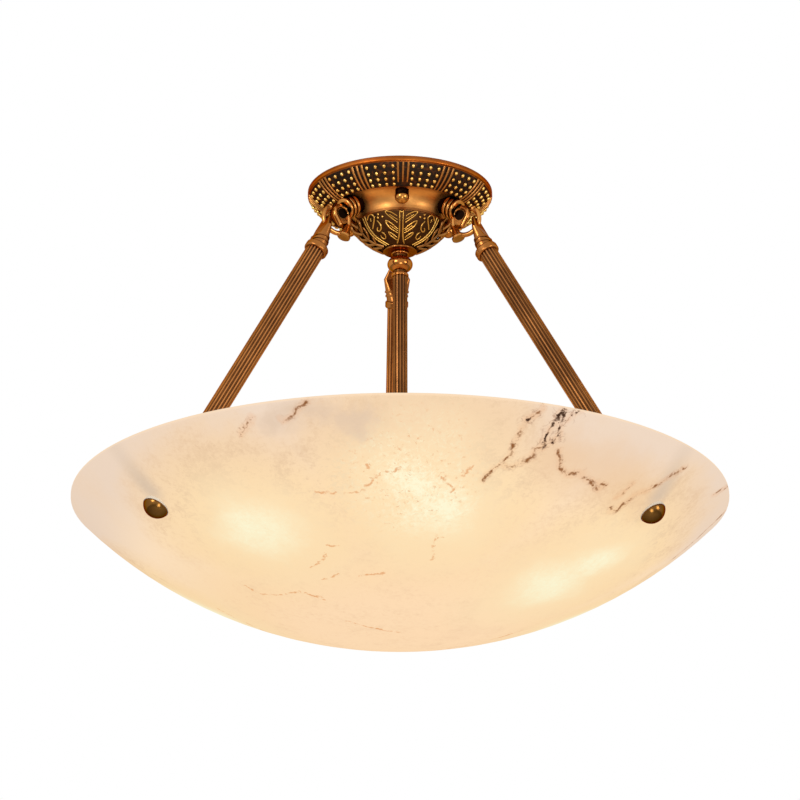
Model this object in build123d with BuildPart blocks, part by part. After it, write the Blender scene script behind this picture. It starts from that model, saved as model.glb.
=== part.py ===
from build123d import *
import os
from math import asin, atan2, cos, degrees, hypot, radians, sin, sqrt

# A lit alabaster bowl, hung from a brass canopy by three fluted arms, with six lamps on a middle stem.
# Millimetres. Z is 0 at the ceiling and the light hangs below it, with its front towards -Y.

os.makedirs("parts", exist_ok=True)

# Alabaster bowl
BOWL_DIAMETER = 600.0
BOWL_DEPTH = 125.0
BOWL_EDGE = 3.0             # upright edge under the rim
BOWL_WALL = 9.0
RIM_DROP = 309.3            # ceiling to the rim
RIM_ROUNDING = 1.2
HOLE_INSET = 50.0           # rim to the knob holes, seen from below
KNOB_HOLE_DIAMETER = 10.0

# Canopy: band, pan and cup
CANOPY_DIAMETER = 175.0
RIM_HEIGHT = 5.0            # smooth upright rim
RIM_WALL = 3.0
RIM_STEP = 1.5              # rim's lower edge stands this far out of the rounded face
FACE_WIDTH = 20.5           # rounded face of the band, seen from below
FACE_FALL = 16.5
FACE_BULGE = 2.2            # how far the face swells out of a straight slope
BAND_WIDTH = 28.5           # rim to the pan, seen from below
BAND_FALL = 12.0            # rim's lower edge down to the pan's shoulder
LEDGE_WIDTH = 6.0           # flat inside the band that the pan's flange lies on
LEDGE_THICKNESS = 4.5
SHOULDER_WIDTH = 2.0        # flat ring inside the band
COVE_RADIUS = 15.0
COVE_WALL = 1.0             # upright wall below the cove
PAN_SHEET = 1.5
CUP_HEIGHT = 26.0
CUP_WALL = 2.5
CUP_LIP_HEIGHT = 2.0
CUP_LIP_PROUD = 0.8
CUP_BULGE = 3.5             # how far the cup's side swells out of a straight line

# Ceiling plate and canopy fasteners
PLATE_DIAMETER = 140.0
PLATE_THICKNESS = 2.0
CABLE_HOLE_DIAMETER = 20.0
SLOT_SPACING = 80.0
SLOT_LENGTH = 14.0
SLOT_WIDTH = 5.5
STUD_DIAMETER = 5.0
STUD_NUT_ACROSS = 8.0
STUD_NUT_HEIGHT = 4.0
NUT_INSET = 4.5             # band to the middle of the cap nuts
NUT_SEAT_DIAMETER = 8.4     # flat seats pressed in the cove for the cap nuts
NUT_SEAT_DROP = 2.4
CAP_WASHER_DIAMETER = 8.2
CAP_WASHER_THICKNESS = 1.0
CAP_NUT_DIAMETER = 12.6
CAP_NUT_BODY = 6.8
CAP_NUT_BALL = 13.4
CANOPY_SCREW_DIAMETER = 3.0
CANOPY_SCREW_HEAD = 5.5
CANOPY_SCREW_HEAD_HEIGHT = 2.0
EARTH_SCREW_DIAMETER = 4.0
EARTH_SCREW_HEAD = 8.0
EARTH_SCREW_LENGTH = 8.0
EARTH_SCREW_HEAD_HEIGHT = 3.0
BLOCK_LENGTH = 30.0
BLOCK_WIDTH = 16.0
BLOCK_HEIGHT = 12.0
BLOCK_SETBACK = 20.0        # middle of the canopy to the block's near face
TERMINAL_COUNT = 3
TERMINAL_SCREW_DIAMETER = 3.5
TERMINAL_SCREW_LENGTH = 5.0

# Hooks
BOSS_LEAN = 59.7            # degrees from straight down
BOSS_RADIUS = 8.8
BOSS_LENGTH = 17.9          # cove to the hollow end, along the boss
REED_THICKNESS = 4.0
REED_PITCH = 4.3
REED_COUNT = 3
MOUTH_RADIUS = 6.6
MOUTH_DEPTH = 3.0
SCROLL_RADIUS = 7.6         # curl in front of the boss, to the middle of its wire
SCROLL_ROOT = 121.0         # where the curl crosses the boss, degrees from outward
TIP_ANGLE = -31.0           # where the curl runs straight to its tip
TIP_LENGTH = 8.0
LIMB_LENGTH = 7.2           # straight part between the curl and the ring
RING_RADIUS = 13.6          # open ring that the arm hangs on
RING_WIRE = 4.7
EAR_WEB = 1.8               # thin web that closes the curl
EAR_DROP = 8.0              # curl's middle to the web's lower edge on the limb
RING_END_ANGLE = 56.0       # free end of the ring, degrees up from outward
EYE_ANGLE = -27.0           # where the arm's eye hangs on the ring
FOOT_ANGLE = 216.0          # where the foot grows from the ring
FOOT_LEAN = 22.0
FOOT_RISE = 5.0             # foot's root above the ring's middle
FOOT_LENGTH = 9.0
FOOT_DIAMETER = 12.4
HOOK_STUD_DIAMETER = 6.0
HOOK_STUD_LENGTH = 10.0
HOOK_NUT_ACROSS = 10.0
HOOK_NUT_HEIGHT = 4.0

# Arms
BLADE_LEAN = 18.4           # degrees from straight down
BLADE_LENGTH = 30.1         # eye to the middle of the collar
BLADE_TOP = 6.6             # eye to the blade's upper edge
BLADE_TOP_WIDTH = 13.0
BLADE_THICKNESS = 2.8
BLADE_WAIST = 6.0           # eye to the blade's widest place
BLADE_WAIST_WIDTH = 25.4
BLADE_WAIST_THICKNESS = 5.2
BLADE_ROOT = 18.0
BLADE_BAND_HEIGHT = 2.0
BLADE_BAND_PROUD = 0.8
COLLAR_DIAMETER = 22.3
COLLAR_HEIGHT = 7.0
ARM_DIAMETER = 18.0
ARM_BORE = 12.8
ARM_FLUTES = 18
FLUTE_DEPTH = 0.95
SPIGOT_LENGTH = 14.0
ARM_FOOT_DIAMETER = 21.0
ARM_FOOT_HEIGHT = 8.0
THREAD_DEPTH = 20.0
GASKET_THICKNESS = 3.0
KNOB_DIAMETER = 23.6
KNOB_HEIGHT = 9.0
KNOB_RIM = 1.0
KNOB_SHANK_DIAMETER = 8.0
OUTER_WASHER_DIAMETER = 24.6
OUTER_WASHER_THICKNESS = 1.6    # on the arm's axis; the washer is a wedge

# Middle stem
NIPPLE_DIAMETER = 10.0
NIPPLE_BORE = 7.0
NIPPLE_TOP = 10.0           # stands this far above the pan's floor
NIPPLE_NUT_ACROSS = 14.0
NIPPLE_NUT_HEIGHT = 5.0
NIPPLE_WASHER_DIAMETER = 22.0
NIPPLE_WASHER_THICKNESS = 1.5
FLANGE_DIAMETER = 32.0
FLANGE_THICKNESS = 2.2
NECK_RING_DIAMETER = 16.6
NECK_RING_HEIGHT = 2.6
NECK_DIAMETER = 13.0
NECK_HEIGHT = 0.9
BALL_DIAMETER = 24.0
BALL_HEIGHT = 17.4
STEM_COLLAR_DIAMETER = 16.2
STEM_COLLAR_HEIGHT = 3.0
STEM_DIAMETER = 14.0
STEM_FLUTES = 14
STEM_ENGAGEMENT = 14.0      # nipple in the stem, at each end

# Lamps
LAMP_COUNT = 6
LAMP_TILT = 17.0            # degrees below level
HUB_DIAMETER = 60.0
HUB_WALL = 3.0
HUB_ABOVE = 24.0            # meeting point of the lamp axes to the hub's top
HUB_BELOW = 22.0
HUB_COVER_RISE = 9.0
HUB_COVER_LIP = 4.0
HUB_COVER_WALL = 2.0
HUB_KNOB_DIAMETER = 9.0
LAMP_ARM_DIAMETER = 10.0
LAMP_ARM_BORE = 7.0
LAMP_ARM_LENGTH = 40.0      # hub's side to the holder
HOLDER_DIAMETER = 37.0
HOLDER_LENGTH = 40.0
HOLDER_BASE = 5.0
HOLDER_CHAMBER = 7.0
HOLDER_FLOOR = 3.0
BULB_CAP_DIAMETER = 26.4
BULB_DIAMETER = 60.0
BULB_NECK = 64.0            # holder's mouth to the middle of the globe
BULB_TO_BOWL = 11.0
CABLE_DIAMETER = 5.0
CABLE_BEND = 9.0
CABLE_DROP = 9.0            # ceiling to the cable at the terminal block
LEAD_DIAMETER = 4.0
SPLICE_DIAMETER = 14.0
SPLICE_HEIGHT = 16.0

# Clearances
SEAT_GAP = 0.1              # pieces clamped face to face
LOOSE_FIT = 0.3             # pieces that pass each other freely
THREAD_FIT = 0.05           # threads and close slip fits, on the radius
EYE_GAP = 0.45              # ring's wire in the arm's eye, all round

ARM_ANGLES = {"right": -30, "rear": 90, "left": 210}
NUT_ANGLES = {"front": -90, "right": 30, "left": 150}
LAMP_ANGLES = [-90 + 360 / LAMP_COUNT * index for index in range(LAMP_COUNT)]

# Canopy heights and radii
canopy_radius = CANOPY_DIAMETER / 2
band_radius = canopy_radius - BAND_WIDTH
pan_radius = band_radius - LOOSE_FIT
cove_start = band_radius - SHOULDER_WIDTH
cup_radius = cove_start - COVE_RADIUS
shoulder_z = -RIM_HEIGHT - BAND_FALL
ledge_z = shoulder_z + LEDGE_THICKNESS
face_start = canopy_radius - RIM_STEP
face_end = face_start - FACE_WIDTH
face_bottom = -RIM_HEIGHT - FACE_FALL
face_chord = hypot(FACE_WIDTH, FACE_FALL)
face_middle = (face_start + face_end) / 2 + FACE_BULGE * FACE_FALL / face_chord
face_middle_z = (face_bottom - RIM_HEIGHT) / 2 - FACE_BULGE * FACE_WIDTH / face_chord
cove_z = shoulder_z - COVE_RADIUS
floor_z = cove_z - COVE_WALL
cup_z = floor_z - CUP_HEIGHT
nut_circle = band_radius - NUT_INSET
seat_z = shoulder_z - NUT_SEAT_DROP
screw_circle = band_radius + LEDGE_WIDTH / 2 - LOOSE_FIT
nipple_hole = NIPPLE_DIAMETER / 2 + THREAD_FIT

# The bowl is a cap of a sphere, with its middle on the light's axis
cap_height = BOWL_DEPTH - BOWL_EDGE
rim_radius = BOWL_DIAMETER / 2
outer_sphere = (rim_radius ** 2 + cap_height ** 2) / (2 * cap_height)
inner_sphere = outer_sphere - BOWL_WALL
sphere_z = outer_sphere - RIM_DROP - BOWL_DEPTH

# The hook's boss starts in the middle of the cove; a curled wire crosses its end and turns into the ring
boss_radius_at = cove_start - COVE_RADIUS * cos(radians(45))
boss_z_at = cove_z + COVE_RADIUS * sin(radians(45))
root_reach = BOSS_LENGTH - RING_WIRE / 2
scroll_at = boss_radius_at + root_reach * sin(radians(BOSS_LEAN)) - SCROLL_RADIUS * cos(radians(SCROLL_ROOT))
scroll_z = boss_z_at - root_reach * cos(radians(BOSS_LEAN)) - SCROLL_RADIUS * sin(radians(SCROLL_ROOT))
limb_at = scroll_at - SCROLL_RADIUS
ring_at = limb_at + RING_RADIUS
ring_z = scroll_z - LIMB_LENGTH

# Arm: eye on the ring, collar below it, then a straight tube to the hole in the bowl
eye_at = ring_at + RING_RADIUS * cos(radians(EYE_ANGLE))
eye_z = ring_z + RING_RADIUS * sin(radians(EYE_ANGLE))
collar_at = eye_at + BLADE_LENGTH * sin(radians(BLADE_LEAN))
collar_z = eye_z - BLADE_LENGTH * cos(radians(BLADE_LEAN))
hole_at = rim_radius - HOLE_INSET
hole_z = sphere_z - sqrt(outer_sphere ** 2 - hole_at ** 2)
arm_lean = degrees(atan2(hole_at - collar_at, collar_z - hole_z))
arm_length = hypot(hole_at - collar_at, collar_z - hole_z)


def reach_sphere(radius):
    """Distance along the arm, from the collar, to a sphere about the bowl's middle."""
    along_out = sin(radians(arm_lean))
    along_down = cos(radians(arm_lean))
    height = collar_z - sphere_z
    half = collar_at * along_out - height * along_down
    return sqrt(half ** 2 - collar_at ** 2 - height ** 2 + radius ** 2) - half


wall_reach = reach_sphere(inner_sphere)
foot_reach = wall_reach - GASKET_THICKNESS
tube_start = COLLAR_HEIGHT / 2
tube_end = foot_reach - ARM_FOOT_HEIGHT
knob_reach = arm_length + OUTER_WASHER_THICKNESS

# Lamps: each globe stands clear of the stone, and the hub's height follows from that
hub_radius = HUB_DIAMETER / 2
tilt_out = cos(radians(LAMP_TILT))
holder_start = hub_radius / tilt_out + LAMP_ARM_LENGTH
holder_end = holder_start + HOLDER_LENGTH
socket_start = holder_start + HOLDER_BASE + HOLDER_CHAMBER + HOLDER_FLOOR
globe_reach = holder_end + BULB_NECK
globe_sphere = inner_sphere - BULB_TO_BOWL - BULB_DIAMETER / 2
globe_z = sphere_z - sqrt(globe_sphere ** 2 - (globe_reach * tilt_out) ** 2)
lamps_z = globe_z + globe_reach * sin(radians(LAMP_TILT))
hub_top = lamps_z + HUB_ABOVE
hub_bottom = lamps_z - HUB_BELOW

# Heights down the stem
flange_z = cup_z - FLANGE_THICKNESS
neck_z = flange_z - NECK_RING_HEIGHT - NECK_HEIGHT
ball_z = neck_z - BALL_HEIGHT / 2
ball_end = neck_z - BALL_HEIGHT - NECK_HEIGHT
stem_top = ball_end - STEM_COLLAR_HEIGHT


def keep(builder, name):
    builder.part.label = name
    export_step(builder.part, f"parts/{name}.step")


def run_from(angle, radius, height, lean):
    """Section plane, cross plane and axis of a straight run that starts at a point and leans outward.

    The section plane has its x along the run. The cross plane faces along the run, with its x level.
    """
    out = Vector(cos(radians(angle)), sin(radians(angle)), 0)
    side = Vector(-out.Y, out.X, 0)
    start = out * radius + Vector(0, 0, height)
    along = out * sin(radians(lean)) - Vector(0, 0, 1) * cos(radians(lean))
    section = Plane(origin=start, x_dir=along, z_dir=side)
    cross = Plane(origin=start, x_dir=side, z_dir=along)
    return section, cross, Axis(start, along)


def upright_plane(angle):
    """Upright plane through the light's axis, with x outward and y up."""
    out = Vector(cos(radians(angle)), sin(radians(angle)), 0)
    return Plane(origin=(0, 0, 0), x_dir=out, z_dir=(out.Y, -out.X, 0))


# Ceiling plate: pressed steel disc with a cable hole and two slots for the ceiling screws
with BuildPart() as mounting_plate:
    with BuildSketch(Plane.XY.offset(-PLATE_THICKNESS)):
        Circle(PLATE_DIAMETER / 2)
        Circle(CABLE_HOLE_DIAMETER / 2, mode=Mode.SUBTRACT)
        with GridLocations(SLOT_SPACING, 0, 2, 1):
            SlotOverall(SLOT_LENGTH, SLOT_WIDTH, mode=Mode.SUBTRACT)
        with PolarLocations(nut_circle, len(NUT_ANGLES), start_angle=NUT_ANGLES["front"]):
            Circle(STUD_DIAMETER / 2 + THREAD_FIT, mode=Mode.SUBTRACT)
        with PolarLocations(SLOT_SPACING / 2, 1, start_angle=135):
            Circle(EARTH_SCREW_DIAMETER / 2 + THREAD_FIT, mode=Mode.SUBTRACT)
    extrude(amount=PLATE_THICKNESS)
keep(mounting_plate, "mounting_plate")

# Studs in the plate, long enough for the cap nuts
stud_bottom = seat_z - CAP_WASHER_THICKNESS - CAP_NUT_BODY
with BuildPart() as plate_studs:
    with BuildSketch(Plane.XY.offset(stud_bottom)):
        with PolarLocations(nut_circle, len(NUT_ANGLES), start_angle=NUT_ANGLES["front"]):
            Circle(STUD_DIAMETER / 2)
    extrude(amount=-stud_bottom)
keep(plate_studs, "plate_studs")

# Hexagon nuts that lock the studs to the plate
with BuildPart() as stud_nuts:
    with BuildSketch(Plane.XY.offset(-PLATE_THICKNESS - STUD_NUT_HEIGHT)):
        with PolarLocations(nut_circle, len(NUT_ANGLES), start_angle=NUT_ANGLES["front"]):
            RegularPolygon(STUD_NUT_ACROSS / 2, 6, major_radius=False)
            Circle(STUD_DIAMETER / 2 + THREAD_FIT, mode=Mode.SUBTRACT)
    extrude(amount=STUD_NUT_HEIGHT)
keep(stud_nuts, "stud_nuts")

# Earth screw in the plate
with BuildPart() as earth_screw:
    with BuildSketch(Plane.XY.offset(-EARTH_SCREW_LENGTH)):
        with PolarLocations(SLOT_SPACING / 2, 1, start_angle=135):
            Circle(EARTH_SCREW_DIAMETER / 2)
    extrude(amount=EARTH_SCREW_LENGTH)
    with BuildSketch(Plane.XY.offset(-EARTH_SCREW_LENGTH)):
        with PolarLocations(SLOT_SPACING / 2, 1, start_angle=135):
            RegularPolygon(EARTH_SCREW_HEAD / 2, 6)
    extrude(amount=EARTH_SCREW_HEAD_HEIGHT)
keep(earth_screw, "earth_screw")

# Terminal block on the plate's underside, open at its far face for the supply
block_middle = -BLOCK_SETBACK - BLOCK_WIDTH / 2
terminal_pitch = BLOCK_LENGTH / TERMINAL_COUNT
block_z = -PLATE_THICKNESS - BLOCK_HEIGHT
with BuildPart() as terminal_block:
    with BuildSketch(Plane.XY.offset(block_z)):
        with Locations((0, block_middle)):
            Rectangle(BLOCK_LENGTH, BLOCK_WIDTH)
    extrude(amount=BLOCK_HEIGHT)
    fillet(terminal_block.edges().filter_by(Axis.Z), BLOCK_WIDTH / 10)
    with BuildSketch(Plane.XY.offset(block_z)):
        with Locations((0, block_middle)):
            with GridLocations(terminal_pitch, 0, TERMINAL_COUNT, 1):
                Circle(TERMINAL_SCREW_DIAMETER / 2 + THREAD_FIT)
    extrude(amount=TERMINAL_SCREW_LENGTH, mode=Mode.SUBTRACT)
keep(terminal_block, "terminal_block")

# Terminal screws, with slotted heads flush with the block
with BuildPart() as terminal_screws:
    with BuildSketch(Plane.XY.offset(block_z)):
        with Locations((0, block_middle)):
            with GridLocations(terminal_pitch, 0, TERMINAL_COUNT, 1):
                Circle(TERMINAL_SCREW_DIAMETER / 2)
    extrude(amount=TERMINAL_SCREW_LENGTH - SEAT_GAP)
    with BuildSketch(Plane.XY.offset(block_z)):
        with Locations((0, block_middle)):
            with GridLocations(terminal_pitch, 0, TERMINAL_COUNT, 1):
                Rectangle(TERMINAL_SCREW_DIAMETER * 2, TERMINAL_SCREW_DIAMETER / 4)
    extrude(amount=TERMINAL_SCREW_LENGTH / 5, mode=Mode.SUBTRACT)
keep(terminal_screws, "terminal_screws")

# Canopy band: cast ring with a smooth rim, a rounded face that turns up to the pan, and a flat ledge inside
band_slope = BAND_FALL / BAND_WIDTH
rim_inside = canopy_radius - RIM_WALL
rim_inside_z = ledge_z + (rim_inside - band_radius - LEDGE_WIDTH) * band_slope
with BuildPart() as canopy_band:
    with BuildSketch(Plane.XZ):
        with BuildLine():
            ThreePointArc((face_start, -RIM_HEIGHT), (face_middle, face_middle_z), (face_end, face_bottom))
            Polyline(
                (face_end, face_bottom),
                (band_radius, shoulder_z),
                (band_radius, ledge_z),
                (band_radius + LEDGE_WIDTH, ledge_z),
                (rim_inside, rim_inside_z),
                (rim_inside, 0),
                (canopy_radius, 0),
                (canopy_radius, -RIM_HEIGHT),
                (face_start, -RIM_HEIGHT),
            )
        make_face()
    revolve(axis=Axis.Z)
    outer_edges = canopy_band.edges().filter_by(GeomType.CIRCLE).group_by(SortBy.RADIUS)[-1]
    fillet(outer_edges, min(RIM_HEIGHT, RIM_WALL) / 3)
    with BuildSketch(Plane.XY.offset(shoulder_z)):
        with PolarLocations(screw_circle, 2 * len(ARM_ANGLES)):
            Circle(CANOPY_SCREW_DIAMETER / 2 + THREAD_FIT)
    extrude(amount=LEDGE_THICKNESS, mode=Mode.SUBTRACT)
keep(canopy_band, "canopy_band")

# Canopy pan: spun sheet with a flange on the band's ledge, a shoulder, a cove and a flat floor
flange_outside = band_radius + LEDGE_WIDTH - LOOSE_FIT
with BuildPart() as canopy_pan:
    with BuildSketch(Plane.XZ):
        with BuildLine():
            Polyline(
                (flange_outside, ledge_z + PAN_SHEET),
                (flange_outside, ledge_z),
                (pan_radius, ledge_z),
                (pan_radius, shoulder_z),
                (cove_start, shoulder_z),
            )
            CenterArc((cove_start, cove_z), COVE_RADIUS, 90, 90)
            Polyline(
                (cup_radius, cove_z),
                (cup_radius, floor_z),
                (nipple_hole, floor_z),
                (nipple_hole, floor_z + PAN_SHEET),
                (cup_radius - PAN_SHEET, floor_z + PAN_SHEET),
                (cup_radius - PAN_SHEET, cove_z),
            )
            CenterArc((cove_start, cove_z), COVE_RADIUS + PAN_SHEET, 180, -90)
            Polyline(
                (cove_start, shoulder_z + PAN_SHEET),
                (pan_radius - PAN_SHEET, shoulder_z + PAN_SHEET),
                (pan_radius - PAN_SHEET, ledge_z + PAN_SHEET),
                (flange_outside, ledge_z + PAN_SHEET),
            )
        make_face()
    revolve(axis=Axis.Z)
    with BuildSketch(Plane.XY.offset(seat_z)):
        with PolarLocations(nut_circle, len(NUT_ANGLES), start_angle=NUT_ANGLES["front"]):
            Circle(NUT_SEAT_DIAMETER / 2)
    extrude(amount=NUT_SEAT_DROP + PAN_SHEET / 2)
    with BuildSketch(Plane.XY.offset(seat_z)):
        with PolarLocations(nut_circle, len(NUT_ANGLES), start_angle=NUT_ANGLES["front"]):
            Circle(STUD_DIAMETER / 2 + LOOSE_FIT)
    extrude(amount=COVE_RADIUS, mode=Mode.SUBTRACT)
    with BuildSketch(Plane.XY.offset(ledge_z)):
        with PolarLocations(screw_circle, 2 * len(ARM_ANGLES)):
            Circle(CANOPY_SCREW_DIAMETER / 2 + LOOSE_FIT)
    extrude(amount=PAN_SHEET, mode=Mode.SUBTRACT)
    for angle in ARM_ANGLES.values():
        with BuildSketch(run_from(angle, boss_radius_at, boss_z_at, BOSS_LEAN)[1]):
            Circle(HOOK_STUD_DIAMETER / 2 + LOOSE_FIT)
        extrude(amount=2 * PAN_SHEET, both=True, mode=Mode.SUBTRACT)
keep(canopy_pan, "canopy_pan")

# Small screws that join the pan's flange to the band
with BuildPart() as canopy_screws:
    with BuildSketch(Plane.XY.offset(ledge_z + PAN_SHEET)):
        with PolarLocations(screw_circle, 2 * len(ARM_ANGLES)):
            Circle(CANOPY_SCREW_HEAD / 2)
    extrude(amount=CANOPY_SCREW_HEAD_HEIGHT)
    with BuildSketch(Plane.XY.offset(ledge_z + PAN_SHEET)):
        with PolarLocations(screw_circle, 2 * len(ARM_ANGLES)):
            Circle(CANOPY_SCREW_DIAMETER / 2)
    extrude(amount=-PAN_SHEET - LEDGE_THICKNESS / 2)
keep(canopy_screws, "canopy_screws")

# Washers under the cap nuts
with BuildPart() as cap_washers:
    with BuildSketch(Plane.XY.offset(seat_z - CAP_WASHER_THICKNESS)):
        with PolarLocations(nut_circle, len(NUT_ANGLES), start_angle=NUT_ANGLES["front"]):
            Circle(CAP_WASHER_DIAMETER / 2)
            Circle(STUD_DIAMETER / 2 + LOOSE_FIT, mode=Mode.SUBTRACT)
    extrude(amount=CAP_WASHER_THICKNESS)
keep(cap_washers, "cap_washers")

# Cap nuts: a plain cylinder that ends in a ball, turned on the stud
nut_top = seat_z - CAP_WASHER_THICKNESS - SEAT_GAP
nut_bottom = nut_top - CAP_NUT_BODY
for side, angle in NUT_ANGLES.items():
    with BuildPart() as cap_nut:
        with BuildSketch(Plane.XY.offset(nut_top)):
            with PolarLocations(nut_circle, 1, start_angle=angle):
                Circle(CAP_NUT_DIAMETER / 2)
        extrude(amount=-CAP_NUT_BODY)
        fillet(cap_nut.edges().group_by(Axis.Z)[0], CAP_NUT_BODY / 8)
        with PolarLocations(nut_circle, 1, start_angle=angle):
            with Locations((0, 0, nut_bottom)):
                Sphere(CAP_NUT_BALL / 2)
        with BuildSketch(Plane.XY.offset(nut_top)):
            with PolarLocations(nut_circle, 1, start_angle=angle):
                Circle(STUD_DIAMETER / 2 + THREAD_FIT)
        extrude(amount=-CAP_NUT_BODY - LOOSE_FIT, mode=Mode.SUBTRACT)
    keep(cap_nut, f"cap_nut_{side}")

# Canopy cup: cast bell under the pan's floor
cup_side = cup_radius - CUP_LIP_PROUD
cup_foot = FLANGE_DIAMETER / 2 - LOOSE_FIT
side_z = floor_z - CUP_LIP_HEIGHT
chord = hypot(cup_side - cup_foot, side_z - cup_z)
swell_out = CUP_BULGE * (side_z - cup_z) / chord
swell_down = CUP_BULGE * (cup_side - cup_foot) / chord
swell_at = (cup_side + cup_foot) / 2 + swell_out
swell_z = (side_z + cup_z) / 2 - swell_down
with BuildPart() as canopy_cup:
    with BuildSketch(Plane.XZ):
        with BuildLine():
            Polyline(
                (cup_radius - CUP_WALL, floor_z),
                (cup_radius + CUP_LIP_PROUD, floor_z),
                (cup_radius + CUP_LIP_PROUD, side_z),
                (cup_side, side_z),
            )
            ThreePointArc((cup_side, side_z), (swell_at, swell_z), (cup_foot, cup_z))
            Polyline(
                (cup_foot, cup_z),
                (nipple_hole, cup_z),
                (nipple_hole, cup_z + CUP_WALL),
                (cup_foot, cup_z + CUP_WALL),
            )
            ThreePointArc(
                (cup_foot, cup_z + CUP_WALL),
                (swell_at - CUP_WALL * 0.7, swell_z + CUP_WALL * 0.7),
                (cup_radius - CUP_WALL, side_z),
            )
            Line((cup_radius - CUP_WALL, side_z), (cup_radius - CUP_WALL, floor_z))
        make_face()
    revolve(axis=Axis.Z)
keep(canopy_cup, "canopy_cup")

# Turned disc that closes the cup
with BuildPart() as cup_flange:
    with BuildSketch(Plane.XY.offset(flange_z)):
        Circle(FLANGE_DIAMETER / 2)
        Circle(nipple_hole, mode=Mode.SUBTRACT)
    extrude(amount=FLANGE_THICKNESS)
    rounded = cup_flange.edges().filter_by(GeomType.CIRCLE).group_by(SortBy.RADIUS)[-1]
    fillet(rounded, FLANGE_THICKNESS / 3)
keep(cup_flange, "cup_flange")

# Turned neck with its flattened ball
with BuildPart() as neck_ball:
    with BuildSketch(Plane.XZ):
        with Locations((NECK_RING_DIAMETER / 4, flange_z - NECK_RING_HEIGHT / 2)):
            RectangleRounded(NECK_RING_DIAMETER / 2, NECK_RING_HEIGHT, NECK_RING_HEIGHT / 2.5)
        with Locations((0, ball_z)):
            Ellipse(BALL_DIAMETER / 2, BALL_HEIGHT / 2)
        with Locations((NECK_DIAMETER / 4, (flange_z + ball_end) / 2)):
            Rectangle(NECK_DIAMETER / 2, flange_z - ball_end)
        with Locations((-BALL_DIAMETER, ball_z)):
            Rectangle(2 * BALL_DIAMETER + 2 * nipple_hole, 4 * BALL_HEIGHT, mode=Mode.SUBTRACT)
    revolve(axis=Axis.Z)
keep(neck_ball, "neck_ball")

# Ring on top of the stem
with BuildPart() as stem_collar:
    with BuildSketch(Plane.XY.offset(stem_top)):
        Circle(STEM_COLLAR_DIAMETER / 2)
        Circle(nipple_hole, mode=Mode.SUBTRACT)
    extrude(amount=STEM_COLLAR_HEIGHT)
    rounded = stem_collar.edges().filter_by(GeomType.CIRCLE).group_by(SortBy.RADIUS)[-1]
    fillet(rounded, STEM_COLLAR_HEIGHT / 3)
keep(stem_collar, "stem_collar")

# Threaded nipple that carries the cup, the ball and the stem
with BuildPart() as nipple:
    with BuildSketch(Plane.XY.offset(stem_top - STEM_ENGAGEMENT)):
        Circle(NIPPLE_DIAMETER / 2)
        Circle(NIPPLE_BORE / 2, mode=Mode.SUBTRACT)
    extrude(amount=floor_z + PAN_SHEET + NIPPLE_TOP - stem_top + STEM_ENGAGEMENT)
keep(nipple, "nipple")

# Washer and nut that hang the nipple on the pan's floor
washer_z = floor_z + PAN_SHEET
with BuildPart() as nipple_washer:
    with BuildSketch(Plane.XY.offset(washer_z)):
        Circle(NIPPLE_WASHER_DIAMETER / 2)
        Circle(nipple_hole, mode=Mode.SUBTRACT)
    extrude(amount=NIPPLE_WASHER_THICKNESS)
keep(nipple_washer, "nipple_washer")

with BuildPart() as nipple_nut:
    with BuildSketch(Plane.XY.offset(washer_z + NIPPLE_WASHER_THICKNESS)):
        RegularPolygon(NIPPLE_NUT_ACROSS / 2, 6, major_radius=False)
        Circle(nipple_hole, mode=Mode.SUBTRACT)
    extrude(amount=NIPPLE_NUT_HEIGHT)
keep(nipple_nut, "nipple_nut")

# Fluted stem from the collar to the hub
with BuildPart() as stem_tube:
    with BuildSketch(Plane.XY.offset(hub_top)):
        Circle(STEM_DIAMETER / 2)
        with PolarLocations(STEM_DIAMETER / 2, STEM_FLUTES):
            Circle(FLUTE_DEPTH, mode=Mode.SUBTRACT)
        Circle(nipple_hole, mode=Mode.SUBTRACT)
    extrude(amount=stem_top - hub_top)
keep(stem_tube, "stem_tube")


def canopy_outline(gap):
    """Closed half section of the whole canopy above the hooks, grown by a gap."""
    with BuildSketch(Plane.XZ) as outline:
        with BuildLine():
            Polyline(
                (0, 0),
                (canopy_radius, 0),
                (canopy_radius, -RIM_HEIGHT - gap),
                (face_start, -RIM_HEIGHT - gap),
            )
            ThreePointArc(
                (face_start, -RIM_HEIGHT - gap),
                (face_middle, face_middle_z - gap),
                (face_end, face_bottom - gap),
            )
            Polyline(
                (face_end, face_bottom - gap),
                (band_radius - gap, shoulder_z - gap),
                (cove_start, shoulder_z - gap),
            )
            CenterArc((cove_start, cove_z), COVE_RADIUS - gap, 90, 90)
            Polyline(
                (cup_radius + gap, cove_z),
                (cup_radius + gap, floor_z),
                (0, floor_z),
                (0, 0),
            )
        make_face()
    return outline.sketch


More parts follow.
